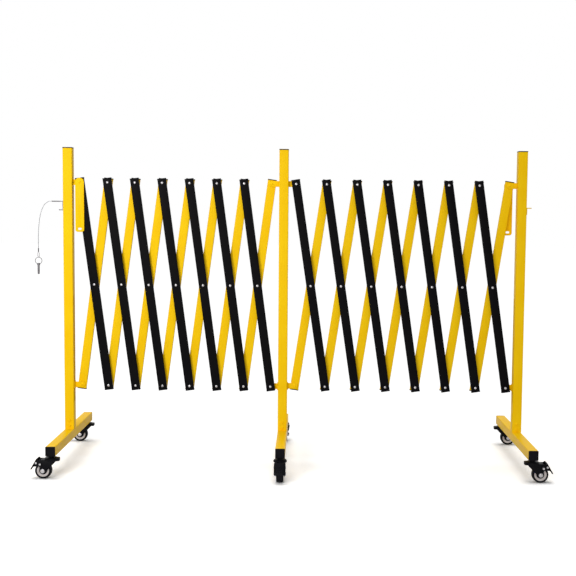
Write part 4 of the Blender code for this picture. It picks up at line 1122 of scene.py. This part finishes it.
strap = block("strap", (-STRAP_HALF, -PLATE_HALF, -STRAP_LENGTH), (STRAP_HALF, PLATE_HALF, STRAP_HALF))
round_edges(strap, 1, STRAP_HALF - SHY, 14, lambda point: point.z > 0)
round_edges(strap, 1, STRAP_CORNER, 8, lambda point: point.z < -STRAP_LENGTH + NEAR)
hole_low = STRAP_HOLE_EDGE - STRAP_LENGTH
hole = block(
    "latch_hole",
    (-STRAP_HOLE_LENGTH / 2, -CUTTER_REACH, hole_low),
    (STRAP_HOLE_LENGTH / 2, CUTTER_REACH, hole_low + STRAP_HOLE_WIDTH),
)
round_edges(hole, 1, STRAP_HOLE_WIDTH / 2 - SHY, 8)
cut_out(strap, hole)
soften(strap, 0.0004, 2, 50)
for side, x, y in (
    ("left", LEFT_POST_X + PIVOT_OFFSET, -STRAP_LAYER),
    ("right", RIGHT_POST_X - PIVOT_OFFSET, STRAP_LAYER),
):
    body = f"{side}_latch_strap"
    twin = copy_of(strap, f"{body}_plate", (x, y, TOP_PIVOT_HEIGHT))
    dress(twin, powder_yellow, body, "yellow_powder_coat", body)
discard(strap)

# Link hardware
# A clevis of bent flat steel, welded bare to the left post, and an angle welded to the right one
# and coated with it. The next barrier's angle fits between the clevis's ears and takes the pin.
# The lanyard's steel crimp is fixed to the clevis's upper ear.
LINK_TOP, LINK_GAP, LINK_THICKNESS, LINK_WIDTH = 0.844088, 0.0245, 0.003, 0.016
LINK_REACH, LINK_HOLE_RADIUS, LINK_ROUND = 0.0155, 0.0042, 0.0045
TAB_TOP, TAB_REACH, TAB_LEG = 0.834963, 0.0175, 0.023
CRIMP_RADIUS, CRIMP_LENGTH, CRIMP_CHAMFER = 0.0018, 0.024, 0.0005
CRIMP_DIP, CRIMP_DIP_STEP, CRIMP_DIP_PLACES = 0.0004, 0.0008, (0.0048, 0.0128)
DRILL_OVERRUN = 0.002


def link_piece(name, way, reach, low, top, bends):
    """A bent piece on a post's side: a web that is cut at these heights, with an ear drawn out of
    each part that is as high as the steel is thick, and a hole down through the ears."""
    root, web, tip = [way * (half + out) for out in (-OVERLAP, LINK_THICKNESS, reach)]
    near, far = sorted((root, web))
    piece = block(name, (near, -LINK_WIDTH / 2, low), (far, LINK_WIDTH / 2, top))
    for height in bends:
        open_up(piece)
        bpy.ops.mesh.bisect(plane_co=(0, 0, height), plane_no=(0, 0, 1))
        bpy.ops.object.mode_set(mode="OBJECT")

    def starts_ear(corners):
        heights = [corner.z for corner in corners]
        return lies_at(corners, 0, web) and max(heights) - min(heights) < LINK_THICKNESS + NEAR

    choose(piece, "FACE", starts_ear)
    bpy.ops.mesh.extrude_region_move(TRANSFORM_OT_translate={"value": (tip - web, 0, 0)})
    close()
    round_edges(piece, 2, LINK_ROUND, 6, lambda point: abs(point.x) > abs(web) + NEAR)
    ends = [(LINK_HOLE_RADIUS, low - DRILL_OVERRUN), (LINK_HOLE_RADIUS, top + DRILL_OVERRUN)]
    cut_out(piece, settle(drawn_up("drill", ends, 24), ((web + tip) / 2, 0, 0)))
    return soften(piece, 0.0005, 2, 50)


link_bottom = LINK_TOP - 2 * LINK_THICKNESS - LINK_GAP
clevis_bends = (LINK_TOP - LINK_THICKNESS, link_bottom + LINK_THICKNESS)
clevis = link_piece("left_link_clevis", -1, LINK_REACH, link_bottom, LINK_TOP, clevis_bends)
dress(settle(clevis, (LEFT_POST_X, 0, 0)), dull_steel, "left_stand", "bare_steel")
crimp = drawn_up(
    "lanyard_crimp",
    [
        (CRIMP_RADIUS, -OVERLAP),
        *grooves(CRIMP_RADIUS, CRIMP_DIP, CRIMP_DIP_STEP, CRIMP_DIP_PLACES),
        (CRIMP_RADIUS, CRIMP_LENGTH - 2 * CRIMP_CHAMFER),
        (CRIMP_RADIUS - CRIMP_CHAMFER, CRIMP_LENGTH),
    ],
    16,
)
crimp_place = (LEFT_POST_X - half - LINK_REACH, 0, LINK_TOP - LINK_THICKNESS / 2)
settle(crimp, crimp_place, (0, -math.pi / 2, 0))
dress(crimp, dull_steel, "left_stand", "bare_steel")

angle_bends = (TAB_TOP - LINK_THICKNESS,)
angle = link_piece("right_link_angle", 1, TAB_REACH, TAB_TOP - TAB_LEG, TAB_TOP, angle_bends)
dress(settle(angle, (RIGHT_POST_X, 0, 0)), powder_yellow, "right_stand", "yellow_powder_coat")
